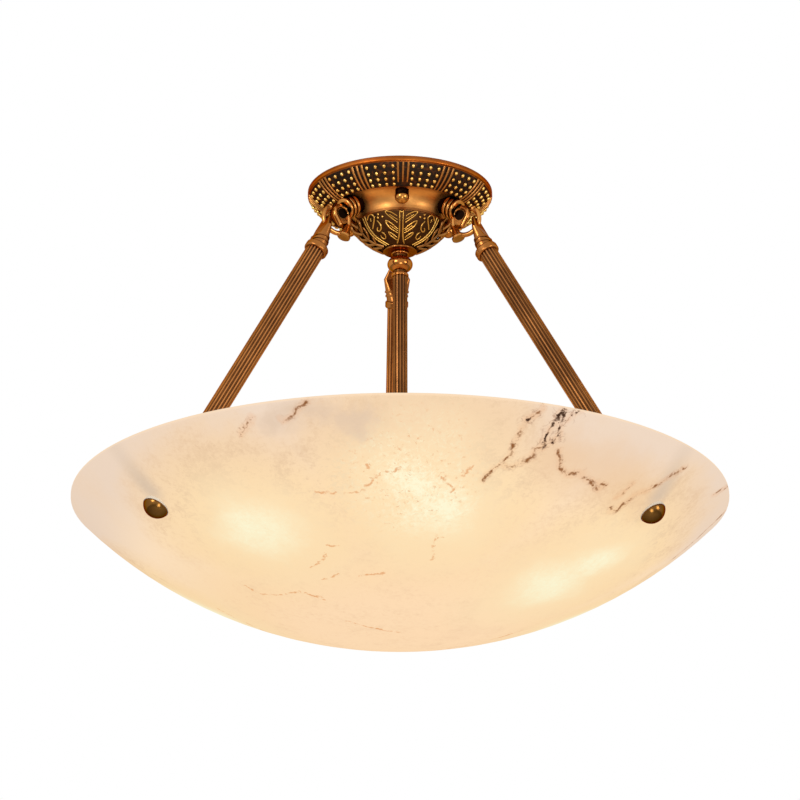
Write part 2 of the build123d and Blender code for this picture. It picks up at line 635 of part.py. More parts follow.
# Hooks: reeded boss on the cove, a wire that curls and turns into an open ring, and a foot under the ring
join_at = scroll_at + SCROLL_RADIUS * cos(radians(TIP_ANGLE))
join_z = scroll_z + SCROLL_RADIUS * sin(radians(TIP_ANGLE))
tip_at = join_at + TIP_LENGTH * sin(radians(TIP_ANGLE))
tip_z = join_z - TIP_LENGTH * cos(radians(TIP_ANGLE))
foot_at = ring_at + RING_RADIUS * cos(radians(FOOT_ANGLE))
foot_z = ring_z + RING_RADIUS * sin(radians(FOOT_ANGLE))
for side, angle in ARM_ANGLES.items():
    section, cross, axis = run_from(angle, boss_radius_at, boss_z_at, BOSS_LEAN)
    with BuildPart() as hook:
        with BuildSketch(section):
            with Locations((BOSS_LENGTH / 2, BOSS_RADIUS / 2)):
                Rectangle(BOSS_LENGTH, BOSS_RADIUS)
            for reed in range(REED_COUNT):
                with Locations((BOSS_LENGTH - REED_THICKNESS / 2 - reed * REED_PITCH, BOSS_RADIUS)):
                    Circle(REED_THICKNESS / 2)
        revolve(axis=axis)
        with BuildSketch(cross.offset(BOSS_LENGTH - MOUTH_DEPTH)):
            Circle(MOUTH_RADIUS)
        extrude(amount=MOUTH_DEPTH, mode=Mode.SUBTRACT)
        with BuildLine(upright_plane(angle)) as wire:
            Line((tip_at, tip_z), (join_at, join_z))
            CenterArc((scroll_at, scroll_z), SCROLL_RADIUS, TIP_ANGLE, 180 - TIP_ANGLE)
            Line((limb_at, scroll_z), (limb_at, ring_z))
            CenterArc((ring_at, ring_z), RING_RADIUS, 180, 180 + RING_END_ANGLE)
        with BuildSketch(Plane(origin=wire.line @ 0, z_dir=wire.line % 0)):
            Circle(RING_WIRE / 2)
        sweep()
        with BuildSketch(upright_plane(angle)):
            with BuildLine():
                Line((tip_at, tip_z), (join_at, join_z))
                CenterArc((scroll_at, scroll_z), SCROLL_RADIUS, TIP_ANGLE, 180 - TIP_ANGLE)
                Polyline((limb_at, scroll_z), (limb_at, scroll_z - EAR_DROP), (tip_at, tip_z))
            make_face()
        extrude(amount=EAR_WEB / 2, both=True)
        with Locations(wire.line @ 0):
            Sphere(RING_WIRE / 2)
        with Locations(wire.line @ 1):
            Sphere(RING_WIRE * 0.62)
        foot_section, foot_cross, foot_axis = run_from(angle, foot_at, foot_z, FOOT_LEAN)
        with BuildSketch(foot_section):
            with BuildLine():
                Polyline(
                    (-FOOT_RISE, 0),
                    (-FOOT_RISE, RING_WIRE / 2),
                    (FOOT_LENGTH * 0.7, FOOT_DIAMETER * 0.4),
                    (FOOT_LENGTH * 0.8, FOOT_DIAMETER / 2),
                    (FOOT_LENGTH, FOOT_DIAMETER / 2),
                    (FOOT_LENGTH, 0),
                    close=True,
                )
            make_face()
        revolve(axis=foot_axis)
        with BuildSketch(Plane.XZ):
            add(canopy_outline(SEAT_GAP))
        revolve(axis=Axis.Z, mode=Mode.SUBTRACT)
        with BuildSketch(cross.offset(-HOOK_STUD_LENGTH)):
            Circle(HOOK_STUD_DIAMETER / 2)
        extrude(amount=HOOK_STUD_LENGTH + BOSS_LENGTH / 2)
    keep(hook, f"hook_{side}")

# Nuts inside the pan that hold the hooks
with BuildPart() as hook_nuts:
    for angle in ARM_ANGLES.values():
        with BuildSketch(run_from(angle, boss_radius_at, boss_z_at, BOSS_LEAN)[1].offset(-2 * PAN_SHEET)):
            RegularPolygon(HOOK_NUT_ACROSS / 2, 6, major_radius=False)
            Circle(HOOK_STUD_DIAMETER / 2 + THREAD_FIT, mode=Mode.SUBTRACT)
        extrude(amount=-HOOK_NUT_HEIGHT)
keep(hook_nuts, "hook_nuts")

# Arms: a flattened end that hangs on the ring, a fluted tube and a threaded foot
spigot_diameter = ARM_BORE - 2 * THREAD_FIT
shank_end = foot_reach - THREAD_DEPTH + LOOSE_FIT
dome_height = KNOB_HEIGHT - KNOB_RIM
dome_radius = ((KNOB_DIAMETER / 2) ** 2 + dome_height ** 2) / (2 * dome_height)
dome_middle = knob_reach + KNOB_HEIGHT - dome_radius
dome_half = asin(KNOB_DIAMETER / 2 / dome_radius) / 2
for side, angle in ARM_ANGLES.items():
    blade = run_from(angle, eye_at, eye_z, BLADE_LEAN)[1]
    section, cross, axis = run_from(angle, collar_at, collar_z, arm_lean)
    with BuildPart() as arm_end:
        with BuildSketch(blade.offset(-BLADE_TOP)):
            SlotOverall(BLADE_TOP_WIDTH, BLADE_THICKNESS)
        with BuildSketch(blade.offset(BLADE_WAIST)):
            SlotOverall(BLADE_WAIST_WIDTH, BLADE_WAIST_THICKNESS)
        with BuildSketch(blade.offset(BLADE_LENGTH)):
            SlotOverall(BLADE_ROOT + THREAD_FIT, BLADE_ROOT)
        loft(ruled=True)
        for height in (COLLAR_HEIGHT, COLLAR_HEIGHT + 2 * BLADE_BAND_HEIGHT):
            share = (height + BLADE_BAND_HEIGHT / 2) / (BLADE_LENGTH - BLADE_WAIST)
            band_width = BLADE_ROOT + (BLADE_WAIST_WIDTH - BLADE_ROOT) * share + 2 * BLADE_BAND_PROUD
            band_depth = BLADE_ROOT + (BLADE_WAIST_THICKNESS - BLADE_ROOT) * share + 2 * BLADE_BAND_PROUD
            with BuildSketch(blade.offset(BLADE_LENGTH - height)):
                SlotOverall(band_width, band_depth)
            extrude(amount=-BLADE_BAND_HEIGHT)
        with BuildSketch(cross.offset(-COLLAR_HEIGHT / 2)):
            Circle(COLLAR_DIAMETER / 2)
        extrude(amount=COLLAR_HEIGHT)
        collar_edges = arm_end.edges().filter_by(GeomType.CIRCLE).group_by(SortBy.RADIUS)[-1]
        fillet(collar_edges, COLLAR_HEIGHT / 4)
        with BuildSketch(cross.offset(COLLAR_HEIGHT / 2)):
            Circle(spigot_diameter / 2)
        extrude(amount=SPIGOT_LENGTH)
        ring_plane = run_from(angle, ring_at, ring_z, BLADE_LEAN)[0]
        with Locations(ring_plane):
            Torus(RING_RADIUS, RING_WIRE / 2 + EYE_GAP, mode=Mode.SUBTRACT)
    keep(arm_end, f"arm_end_{side}")

    with BuildPart() as arm_tube:
        with BuildSketch(cross.offset(tube_start)):
            Circle(ARM_DIAMETER / 2)
            with PolarLocations(ARM_DIAMETER / 2, ARM_FLUTES):
                Circle(FLUTE_DEPTH, mode=Mode.SUBTRACT)
            Circle(ARM_BORE / 2, mode=Mode.SUBTRACT)
        extrude(amount=tube_end - tube_start)
    keep(arm_tube, f"arm_tube_{side}")

    with BuildPart() as arm_foot:
        with BuildSketch(cross.offset(tube_end)):
            Circle(ARM_FOOT_DIAMETER / 2)
        extrude(amount=ARM_FOOT_HEIGHT)
        foot_edges = arm_foot.edges().filter_by(GeomType.CIRCLE)
        fillet(foot_edges, ARM_FOOT_HEIGHT / 6)
        with BuildSketch(cross.offset(tube_end)):
            Circle(spigot_diameter / 2)
        extrude(amount=-SPIGOT_LENGTH)
        with BuildSketch(cross.offset(foot_reach)):
            Circle(KNOB_SHANK_DIAMETER / 2 + THREAD_FIT)
        extrude(amount=-THREAD_DEPTH, mode=Mode.SUBTRACT)
    keep(arm_foot, f"arm_foot_{side}")

    with BuildPart() as bowl_knob:
        with BuildSketch(section):
            with BuildLine():
                Polyline(
                    (shank_end, 0),
                    (shank_end, KNOB_SHANK_DIAMETER / 2),
                    (knob_reach, KNOB_SHANK_DIAMETER / 2),
                    (knob_reach, KNOB_DIAMETER / 2),
                    (knob_reach + KNOB_RIM, KNOB_DIAMETER / 2),
                )
                ThreePointArc(
                    (knob_reach + KNOB_RIM, KNOB_DIAMETER / 2),
                    (dome_middle + dome_radius * cos(dome_half), dome_radius * sin(dome_half)),
                    (knob_reach + KNOB_HEIGHT, 0),
                )
                Line((knob_reach + KNOB_HEIGHT, 0), (shank_end, 0))
            make_face()
        revolve(axis=axis)
    keep(bowl_knob, f"bowl_knob_{side}")

# Bowl: turned stone of even wall, with a sawn rim and three holes on the arms' axes
edge_inside = sqrt(inner_sphere ** 2 - (sphere_z + RIM_DROP) ** 2)
with BuildPart() as bowl:
    with BuildSketch(Plane.XZ):
        with BuildLine():
            Line((rim_radius, -RIM_DROP), (rim_radius, -RIM_DROP - BOWL_EDGE))
            RadiusArc((rim_radius, -RIM_DROP - BOWL_EDGE), (0, sphere_z - outer_sphere), outer_sphere)
            Line((0, sphere_z - outer_sphere), (0, sphere_z - inner_sphere))
            RadiusArc((0, sphere_z - inner_sphere), (edge_inside, -RIM_DROP), -inner_sphere)
            Line((edge_inside, -RIM_DROP), (rim_radius, -RIM_DROP))
        make_face()
    revolve(axis=Axis.Z)
    fillet(bowl.edges().filter_by(GeomType.CIRCLE).group_by(Axis.Z)[-1], RIM_ROUNDING)
    for angle in ARM_ANGLES.values():
        with BuildSketch(run_from(angle, hole_at, hole_z, arm_lean)[1]):
            Circle(KNOB_HOLE_DIAMETER / 2)
        extrude(amount=3 * BOWL_WALL, both=True, mode=Mode.SUBTRACT)
keep(bowl, "bowl")

# Soft gaskets between the arm feet and the stone, shaped to its hollow
with BuildPart() as inner_gaskets:
    for angle in ARM_ANGLES.values():
        with BuildSketch(run_from(angle, collar_at, collar_z, arm_lean)[1].offset(foot_reach)):
            Circle(ARM_FOOT_DIAMETER / 2)
            Circle(KNOB_SHANK_DIAMETER / 2 + LOOSE_FIT, mode=Mode.SUBTRACT)
        extrude(amount=3 * GASKET_THICKNESS)
    with Locations((0, 0, sphere_z)):
        Sphere(inner_sphere - SEAT_GAP, mode=Mode.INTERSECT)
keep(inner_gaskets, "inner_gaskets")

# Clear washers between the knobs and the stone, shaped to its outside
with BuildPart() as outer_washers:
    for angle in ARM_ANGLES.values():
        with BuildSketch(run_from(angle, collar_at, collar_z, arm_lean)[1].offset(knob_reach - SEAT_GAP)):
            Circle(OUTER_WASHER_DIAMETER / 2)
            Circle(KNOB_SHANK_DIAMETER / 2 + LOOSE_FIT, mode=Mode.SUBTRACT)
        extrude(amount=-3 * OUTER_WASHER_THICKNESS)
    with Locations((0, 0, sphere_z)):
        Sphere(outer_sphere + SEAT_GAP, mode=Mode.SUBTRACT)
keep(outer_washers, "outer_washers")

# Lamp hub: turned body on the stem's foot, open below, bored for the lamp arms
with BuildPart() as lamp_hub:
    with BuildSketch(Plane.XY.offset(hub_bottom)):
        Circle(hub_radius)
    extrude(amount=hub_top - hub_bottom)
    fillet(lamp_hub.edges().group_by(Axis.Z)[-1], 2 * HUB_WALL)
    with BuildSketch(Plane.XY.offset(hub_bottom)):
        Circle(hub_radius - HUB_WALL)
    extrude(amount=hub_top - hub_bottom - 2 * HUB_WALL, mode=Mode.SUBTRACT)
    with BuildSketch(Plane.XY.offset(hub_bottom)):
        Circle(nipple_hole)
    extrude(amount=hub_top - hub_bottom, mode=Mode.SUBTRACT)
    for angle in LAMP_ANGLES:
        with BuildSketch(run_from(angle, 0, lamps_z, 90 - LAMP_TILT)[1].offset(hub_radius / 2)):
            Circle(LAMP_ARM_DIAMETER / 2 + THREAD_FIT)
        extrude(amount=hub_radius, mode=Mode.SUBTRACT)
keep(lamp_hub, "lamp_hub")

# Nipple and nut that fix the hub to the stem
hub_ceiling = hub_top - 2 * HUB_WALL
with BuildPart() as hub_nipple:
    with BuildSketch(Plane.XY.offset(hub_ceiling - NIPPLE_NUT_HEIGHT)):
        Circle(NIPPLE_DIAMETER / 2)
        Circle(NIPPLE_BORE / 2, mode=Mode.SUBTRACT)
    extrude(amount=NIPPLE_NUT_HEIGHT + 2 * HUB_WALL + STEM_ENGAGEMENT)
keep(hub_nipple, "hub_nipple")

with BuildPart() as hub_nut:
    with BuildSketch(Plane.XY.offset(hub_ceiling - NIPPLE_NUT_HEIGHT)):
        RegularPolygon(NIPPLE_NUT_ACROSS / 2, 6, major_radius=False)
        Circle(nipple_hole, mode=Mode.SUBTRACT)
    extrude(amount=NIPPLE_NUT_HEIGHT)
keep(hub_nut, "hub_nut")

# Hub cover: domed lid pushed into the hub, with a small turned knob
with BuildPart() as hub_cover:
    with BuildSketch(Plane.XZ):
        with BuildLine():
            Polyline(
                (hub_radius - HUB_WALL - THREAD_FIT - HUB_COVER_WALL, hub_bottom + HUB_COVER_LIP),
                (hub_radius - HUB_WALL - THREAD_FIT, hub_bottom + HUB_COVER_LIP),
                (hub_radius - HUB_WALL - THREAD_FIT, hub_bottom),
                (hub_radius, hub_bottom),
                (hub_radius, hub_bottom - HUB_COVER_WALL),
            )
            ThreePointArc(
                (hub_radius, hub_bottom - HUB_COVER_WALL),
                (hub_radius * 0.6, hub_bottom - HUB_COVER_WALL - HUB_COVER_RISE * 0.68),
                (0, hub_bottom - HUB_COVER_WALL - HUB_COVER_RISE),
            )
            Polyline(
                (0, hub_bottom - HUB_COVER_WALL - HUB_COVER_RISE),
                (0, hub_bottom),
                (hub_radius - HUB_WALL - THREAD_FIT - HUB_COVER_WALL, hub_bottom),
                (hub_radius - HUB_WALL - THREAD_FIT - HUB_COVER_WALL, hub_bottom + HUB_COVER_LIP),
            )
        make_face()
    revolve(axis=Axis.Z)
    with Locations((0, 0, hub_bottom - HUB_COVER_WALL - HUB_COVER_RISE - HUB_KNOB_DIAMETER / 3)):
        Sphere(HUB_KNOB_DIAMETER / 2)
keep(hub_cover, "hub_cover")

# Lamp arms: short tubes from the hub to the holders
arm_inside = (hub_radius - HUB_WALL) / tilt_out - HUB_WALL
with BuildPart() as lamp_arms:
    for angle in LAMP_ANGLES:
        with BuildSketch(run_from(angle, 0, lamps_z, 90 - LAMP_TILT)[1].offset(arm_inside)):
            Circle(LAMP_ARM_DIAMETER / 2)
            Circle(LAMP_ARM_BORE / 2, mode=Mode.SUBTRACT)
        extrude(amount=holder_start + HOLDER_BASE - arm_inside)
keep(lamp_arms, "lamp_arms")

# Lamp holders: turned shells with a chamber for the lead and a socket for the bulb's cap
socket_radius = BULB_CAP_DIAMETER / 2 + LOOSE_FIT
chamber_radius = socket_radius * 0.75
with BuildPart() as lamp_holders:
    for angle in LAMP_ANGLES:
        section, cross, axis = run_from(angle, 0, lamps_z, 90 - LAMP_TILT)
        with BuildSketch(section):
            with BuildLine():
                Polyline(
                    (holder_start, LAMP_ARM_DIAMETER / 2 + THREAD_FIT),
                    (holder_start, HOLDER_DIAMETER * 0.32),
                    (holder_start + HOLDER_BASE, HOLDER_DIAMETER / 2),
                    (holder_end, HOLDER_DIAMETER / 2),
                    (holder_end, socket_radius),
                    (socket_start, socket_radius),
                    (socket_start, LEAD_DIAMETER / 2 + LOOSE_FIT),
                    (socket_start - HOLDER_FLOOR, LEAD_DIAMETER / 2 + LOOSE_FIT),
                    (socket_start - HOLDER_FLOOR, chamber_radius),
                    (holder_start + HOLDER_BASE, chamber_radius),
                    (holder_start + HOLDER_BASE, LAMP_ARM_DIAMETER / 2 + THREAD_FIT),
                    close=True,
                )
            make_face()
        revolve(axis=axis)
keep(lamp_holders, "lamp_holders")

# Bulbs: screw cap, straight neck tangent to a round globe
cap_radius = BULB_CAP_DIAMETER / 2
globe_radius = BULB_DIAMETER / 2
neck_span = hypot(BULB_NECK, cap_radius)
neck_angle = asin(globe_radius / neck_span) - atan2(cap_radius, BULB_NECK)
neck_length = sqrt(neck_span ** 2 - globe_radius ** 2)
neck_end = (holder_end + neck_length * cos(neck_angle), cap_radius + neck_length * sin(neck_angle))
for index, angle in enumerate(LAMP_ANGLES, start=1):
    section, cross, axis = run_from(angle, 0, lamps_z, 90 - LAMP_TILT)
    with BuildPart() as bulb:
        with BuildSketch(section):
            with BuildLine():
                Polyline(
                    (socket_start + LOOSE_FIT, 0),
                    (socket_start + LOOSE_FIT, cap_radius * 0.35),
                    (socket_start + HOLDER_FLOOR, cap_radius * 0.9),
                    (socket_start + 2 * HOLDER_FLOOR, cap_radius),
                    (holder_end, cap_radius),
                    neck_end,
                )
                globe_top = globe_radius * sin(radians(45))
                ThreePointArc(
                    neck_end, (globe_reach + globe_top, globe_top), (globe_reach + globe_radius, 0)
                )
                Line((globe_reach + globe_radius, 0), (socket_start + LOOSE_FIT, 0))
            make_face()
        revolve(axis=axis)
    keep(bulb, f"bulb_{index}")

# Cable from the terminal block down the stem, held inside the light all the way
with BuildPart() as lamp_cable:
    with BuildLine():
        FilletPolyline(
            (0, -BLOCK_SETBACK + SEAT_GAP, -CABLE_DROP),
            (0, 0, -CABLE_DROP),
            (0, 0, lamps_z + SPLICE_HEIGHT / 2 + SEAT_GAP),
            radius=CABLE_BEND,
        )
    with BuildSketch(Plane.XZ.offset(BLOCK_SETBACK - SEAT_GAP)):
        with Locations((0, -CABLE_DROP)):
            Circle(CABLE_DIAMETER / 2)
    sweep()
keep(lamp_cable, "lamp_cable")

# Splice inside the hub, where the cable feeds the lamp leads
with BuildPart() as wire_splice:
    with BuildSketch(Plane.XY.offset(lamps_z - SPLICE_HEIGHT / 2)):
        Circle(SPLICE_DIAMETER / 2)
    extrude(amount=SPLICE_HEIGHT)
    fillet(wire_splice.edges().filter_by(GeomType.CIRCLE), SPLICE_HEIGHT / 8)
keep(wire_splice, "wire_splice")

# Leads from the splice through the lamp arms to the holders
lead_start = (SPLICE_DIAMETER / 2 + LEAD_DIAMETER / 2 * sin(radians(LAMP_TILT)) + SEAT_GAP) / tilt_out
with BuildPart() as lamp_leads:
    for angle in LAMP_ANGLES:
        with BuildSketch(run_from(angle, 0, lamps_z, 90 - LAMP_TILT)[1].offset(lead_start)):
            Circle(LEAD_DIAMETER / 2)
        extrude(amount=socket_start - HOLDER_FLOOR / 2 - lead_start)
keep(lamp_leads, "lamp_leads")
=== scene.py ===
import math

import bpy
from mathutils import Matrix, Vector


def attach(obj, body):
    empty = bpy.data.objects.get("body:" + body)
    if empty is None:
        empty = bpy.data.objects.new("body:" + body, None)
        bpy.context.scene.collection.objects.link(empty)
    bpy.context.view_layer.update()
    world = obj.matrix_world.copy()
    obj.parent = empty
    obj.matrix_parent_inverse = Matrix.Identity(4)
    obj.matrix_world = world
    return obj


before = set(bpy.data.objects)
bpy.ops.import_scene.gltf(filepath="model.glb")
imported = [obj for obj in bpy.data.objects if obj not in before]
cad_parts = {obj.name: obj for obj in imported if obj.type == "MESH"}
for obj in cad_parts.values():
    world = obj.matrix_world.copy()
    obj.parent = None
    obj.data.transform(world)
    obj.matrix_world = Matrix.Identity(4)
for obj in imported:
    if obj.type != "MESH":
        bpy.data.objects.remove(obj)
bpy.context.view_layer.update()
bpy.ops.object.select_all(action="DESELECT")


# The mounting plate is pressed from zinc plated steel and is screwed to the ceiling through its slots.
# Its studs, nuts and the nuts behind the hooks are plated the same way, pale grey with a faint spangle.
class Shade:
    def __init__(self, tree, socket=None):
        self.tree = tree
        self.socket = socket

    def node(self, kind, settings, sockets, outlet=0):
        made = self.tree.nodes.new("ShaderNode" + kind)
        for name, value in settings.items():
            setattr(made, name, value)
        for name, value in sockets.items():
            if isinstance(value, Shade):
                self.tree.links.new(value.socket, made.inputs[name])
            else:
                made.inputs[name].default_value = value
        return Shade(self.tree, made.outputs[outlet])

    def sum(self, operation, first, second, clamp=False):
        settings = {"operation": operation, "use_clamp": clamp}
        return self.node("Math", settings, {0: first, 1: second})

    def __add__(self, other):
        return self.sum("ADD", self, other)

    def __radd__(self, other):
        return self.sum("ADD", other, self)

    def __sub__(self, other):
        return self.sum("SUBTRACT", self, other)

    def __rsub__(self, other):
        return self.sum("SUBTRACT", other, self)

    def __mul__(self, other):
        return self.sum("MULTIPLY", self, other)

    def __rmul__(self, other):
        return self.sum("MULTIPLY", other, self)

    def __truediv__(self, other):
        return self.sum("DIVIDE", self, other)

    def clip(self):
        return self.sum("ADD", self, 0.0, True)

    def least(self, other):
        return self.sum("MINIMUM", self, other)

    def most(self, other):
        return self.sum("MAXIMUM", self, other)

    def rise(self, low, high):
        settings = {"interpolation_type": "SMOOTHSTEP"}
        return self.node("MapRange", settings, {0: self, 1: low, 2: high})

    def vector(self, operation, *others, outlet=0):
        sockets = dict(enumerate((self, *others)))
        return self.node("VectorMath", {"operation": operation}, sockets, outlet)

    def noise(self, scale, detail=3.0, roughness=0.55, outlet=0):
        sockets = {"Vector": self, "Scale": scale, "Detail": detail, "Roughness": roughness}
        return self.node("TexNoise", {}, sockets, outlet)

    def blend(self, first, second):
        first = first if isinstance(first, Shade) else (*first, 1)
        second = second if isinstance(second, Shade) else (*second, 1)
        return self.node("Mix", {"data_type": "RGBA"}, {0: self, 6: first, 7: second}, 2)

    def bump(self, strength, depth):
        return self.node("Bump", {}, {"Height": self, "Strength": strength, "Distance": depth})

    def feed(self, target):
        self.tree.links.new(self.socket, target)


def new_finish(name, **numbers):
    finish = bpy.data.materials.new(name)
    finish.use_nodes = True
    surface = finish.node_tree.nodes["Principled BSDF"].inputs
    for socket, value in numbers.items():
        surface[socket.replace("_", " ").title().replace("Ior", "IOR")].default_value = value
    return finish, surface, Shade(finish.node_tree).node("TexCoord", {}, {}, "Object")


def dress(finish, *names):
    for name in names:
        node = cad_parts[name]
        node.data.materials.clear()
        node.data.materials.append(finish)


ZINC_DULL, ZINC_PALE = (0.52, 0.53, 0.54), (0.70, 0.71, 0.71)
SPANGLE_SCALE = 420


def zinc_plating():
    finish, surface, place = new_finish("zinc_plating", metallic=1.0)
    spangle = place.noise(SPANGLE_SCALE, detail=2)
    spangle.blend(ZINC_DULL, ZINC_PALE).feed(surface["Base Color"])
    (0.32 + spangle * 0.2).feed(surface["Roughness"])
    return finish


zinc = zinc_plating()
dress(zinc, "mounting_plate", "plate_studs", "stud_nuts", "hook_nuts", "canopy_screws", "earth_screw")
dress(zinc, "terminal_screws", "nipple", "nipple_nut", "nipple_washer", "hub_nipple", "hub_nut")


# The terminal block is moulded in ivory plastic and the wires run in soft grey sheaths down the stem.
# The splice cap on the lamp leads is moulded too, with the fine grain that a steel mould leaves.
def moulded(name, pale, deep, roughness, grain):
    finish, surface, place = new_finish(name)
    fleck = place.noise(grain)
    fleck.blend(deep, pale).feed(surface["Base Color"])
    (roughness + fleck * 0.15).feed(surface["Roughness"])
    fleck.bump(strength=0.15, depth=0.0002).feed(surface["Normal"])
    return finish


ivory = moulded(
    "block_ivory", pale=(0.80, 0.77, 0.68), deep=(0.70, 0.66, 0.57), roughness=0.4, grain=900
)
sheath = moulded(
    "grey_sheath", pale=(0.50, 0.50, 0.48), deep=(0.40, 0.40, 0.39), roughness=0.5, grain=700
)
dress(ivory, "terminal_block", "wire_splice")
dress(sheath, "lamp_cable", "lamp_leads")


# The canopy band is a brass casting: a plain rim, then a rounded face of bead panels and groups of ribs.
# Its hollows are blackened in a bath and darkened further with painted shade, and the beads, ribs and rim are
# then rubbed back to bright brass.
# Here the face's curve and the ribs are drawn in millimetres, and the rest in metres.
TARNISH_AND_SHADE = (0.012, 0.0055, 0.003)
EDGE_TINT = (0.50, 0.28, 0.13, 1)


def old_brass(
    name, worn, bright, tarnish_and_shade=TARNISH_AND_SHADE, reach=0.005, hollow=(0.3, 0.8), polish=0.3, stain_and_shade=None
):
    finish, surface, place = new_finish(name, metallic=1.0, specular_tint=EDGE_TINT)
    # Hollows found by ambient occlusion turn dark: partly blackened patina and partly painted shade.
    shut_in = 1 - place.node("AmbientOcclusion", {"samples": 8}, {"Distance": reach}, 1)
    cloud = place.noise(60, detail=5, roughness=0.6)
    fine = place.noise(700)
    dark = shut_in.rise(*hollow) + (cloud - 0.5) * 0.35 + (fine - 0.5) * 0.25
    if stain_and_shade:
        dark = dark + stain_and_shade(place)
    dark = dark.clip()
    rubbed = place.noise(24, detail=4, roughness=0.6).rise(0.35, 0.65).blend(worn, bright)
    dark.blend(rubbed, tarnish_and_shade).feed(surface["Base Color"])
    (polish + dark * 0.25 + (cloud - 0.5) * 0.2).clip().feed(surface["Roughness"])
    (fine * 0.5 + cloud).bump(strength=0.12, depth=0.0004).feed(surface["Normal"])
    return finish


def height_of(place):
    return place.node("SeparateXYZ", {}, {0: place}, "Z")


def from_axis(place):
    return place.vector("MULTIPLY", (1, 1, 0)).vector("LENGTH", outlet="Value")


FACE_TOP = (-0.0058, -0.0051)
FACE_EDGE = (0.0648, 0.0656)
RIM_TOP = (-0.0034, -0.0022)


def band_stain(place):
    height = height_of(place)
    face = (1 - height.rise(*FACE_TOP)) * from_axis(place).rise(*FACE_EDGE)
    lattice = place.noise(330, detail=2).rise(0.35, 0.7)
    return face * (1.15 - lattice * 0.35) + height.rise(*RIM_TOP) * 0.4


cast_brass = old_brass(
    "cast_brass", worn=(0.33, 0.078, 0.009), bright=(0.48, 0.135, 0.020),
    tarnish_and_shade=(0.032, 0.021, 0.016), hollow=(0.5, 1.0), stain_and_shade=band_stain,
)
dress(cast_brass, "canopy_band")

PER_METRE = 1000
FACE_OUT, FACE_IN, FACE_BULGE = Vector((86.0, -5.0)), Vector((65.5, -21.5)), 2.2


def band_spot(share, lift=0.0):
    down = (FACE_IN - FACE_OUT).normalized()
    out = Vector((-down.y, down.x))
    half = (FACE_IN - FACE_OUT).length / 2
    curve = (half**2 + FACE_BULGE**2) / (2 * FACE_BULGE)
    turn = (2 * share - 1) * math.asin(half / curve)
    facing = out * math.cos(turn) + down * math.sin(turn)
    spot = (FACE_OUT + FACE_IN) / 2 - out * (curve - FACE_BULGE) + facing * (curve + lift)
    return Vector((0, -spot.x, spot.y)) / PER_METRE, math.atan2(facing.x, facing.y)


def about_axis(azimuth):
    return Matrix.Rotation(math.radians(azimuth), 4, "Z")


def on_band(azimuth, share):
    spot, lean = band_spot(share)
    return about_axis(azimuth) @ Matrix.Translation(spot) @ Matrix.Rotation(lean, 4, "X")


def joined(pieces, name):
    bpy.ops.object.select_all(action="DESELECT")
    for piece in pieces:
        piece.select_set(True)
    bpy.context.view_layer.objects.active = pieces[0]
    bpy.ops.object.join()
    bpy.context.object.name = name
    return bpy.context.object


def copies(master, name, places):
    made = []
    for place in places:
        twin = master.copy()
        twin.data = master.data.copy()
        twin.data.transform(place)
        bpy.context.collection.objects.link(twin)
        made.append(twin)
    bpy.data.objects.remove(master)
    return joined(made, name)


def made_of(piece, finish, body="frame"):
    piece.data.materials.clear()
    piece.data.materials.append(finish)
    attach(piece, body)


PANELS, PANEL_TURN = 12, 30
BEAD_RADIUS, BEAD_SCALE, BEAD_FOOT = 0.001, (1.75, 2.1, 2.0), (0, 0, -0.0001)
BEAD_ROWS = (0.168, 0.413, 0.649, 0.883)
BEAD_COLUMNS = (-8.5, -2.85, 2.85, 8.5)
bpy.ops.mesh.primitive_uv_sphere_add(segments=12, ring_count=8, radius=BEAD_RADIUS)
bead = bpy.context.object
bpy.ops.object.mode_set(mode="EDIT")
bpy.ops.mesh.bisect(plane_co=BEAD_FOOT, plane_no=(0, 0, 1), clear_inner=True, use_fill=False)
bpy.ops.mesh.select_all(action="SELECT")
bpy.ops.transform.resize(value=BEAD_SCALE, center_override=(0, 0, 0))
bpy.ops.mesh.faces_shade_smooth()
bpy.ops.object.mode_set(mode="OBJECT")
bead_places = [
    on_band(PANEL_TURN * (panel + 0.5) + column, row)
    for panel in range(PANELS)
    for column in BEAD_COLUMNS
    for row in BEAD_ROWS
]
beads = copies(bead, "band_beads", bead_places)


def raised_line(points, thickness, ends=(0.75, 0.75), body=(1.0, 1.0)):
    bpy.ops.curve.primitive_nurbs_path_add()
    path = bpy.context.object
    path.data.splines.clear()
    line = path.data.splines.new("NURBS")
    line.points.add(len(points) - 1)
    for number, (spot, point) in enumerate(zip(line.points, points)):
        spot.co = (*point, 1)
        spot.radius = body[0] + (body[1] - body[0]) * number / (len(points) - 1)
    line.points[0].radius, line.points[-1].radius = ends
    line.order_u = 3
    line.use_endpoint_u = True
    line.resolution_u = 5
    path.data.dimensions = "3D"
    path.data.bevel_depth = thickness / 2 / PER_METRE
    path.data.bevel_resolution = 2
    path.data.use_fill_caps = True
    bpy.ops.object.convert(target="MESH")
    bpy.ops.object.shade_smooth()
    return bpy.context.object


RIB_STEPS = (-3.3, 0, 3.3)
RIB_STOPS, RIB_START, RIB_LIFT = 8, 0.02, 0.35
RIB_WIDTH, RIB_ENDS = 2.7, (0.95, 0.6)
NUT_GROUPS = range(0, PANELS, 4)
LONG_GROUPS = [group for group in range(PANELS) if group not in NUT_GROUPS]


def rib_groups(name, groups, reach, narrowing):
    shares = [stop / RIB_STOPS * reach + RIB_START for stop in range(RIB_STOPS + 1)]
    line = [band_spot(share, RIB_LIFT)[0] for share in shares]
    rib = raised_line(line, RIB_WIDTH, RIB_ENDS, (1.0, narrowing))
    turns = [PANEL_TURN * group + step for group in groups for step in RIB_STEPS]
    return copies(rib, name, [about_axis(turn) for turn in turns])


long_ribs = rib_groups("band_ribs", LONG_GROUPS, reach=0.96, narrowing=0.74)
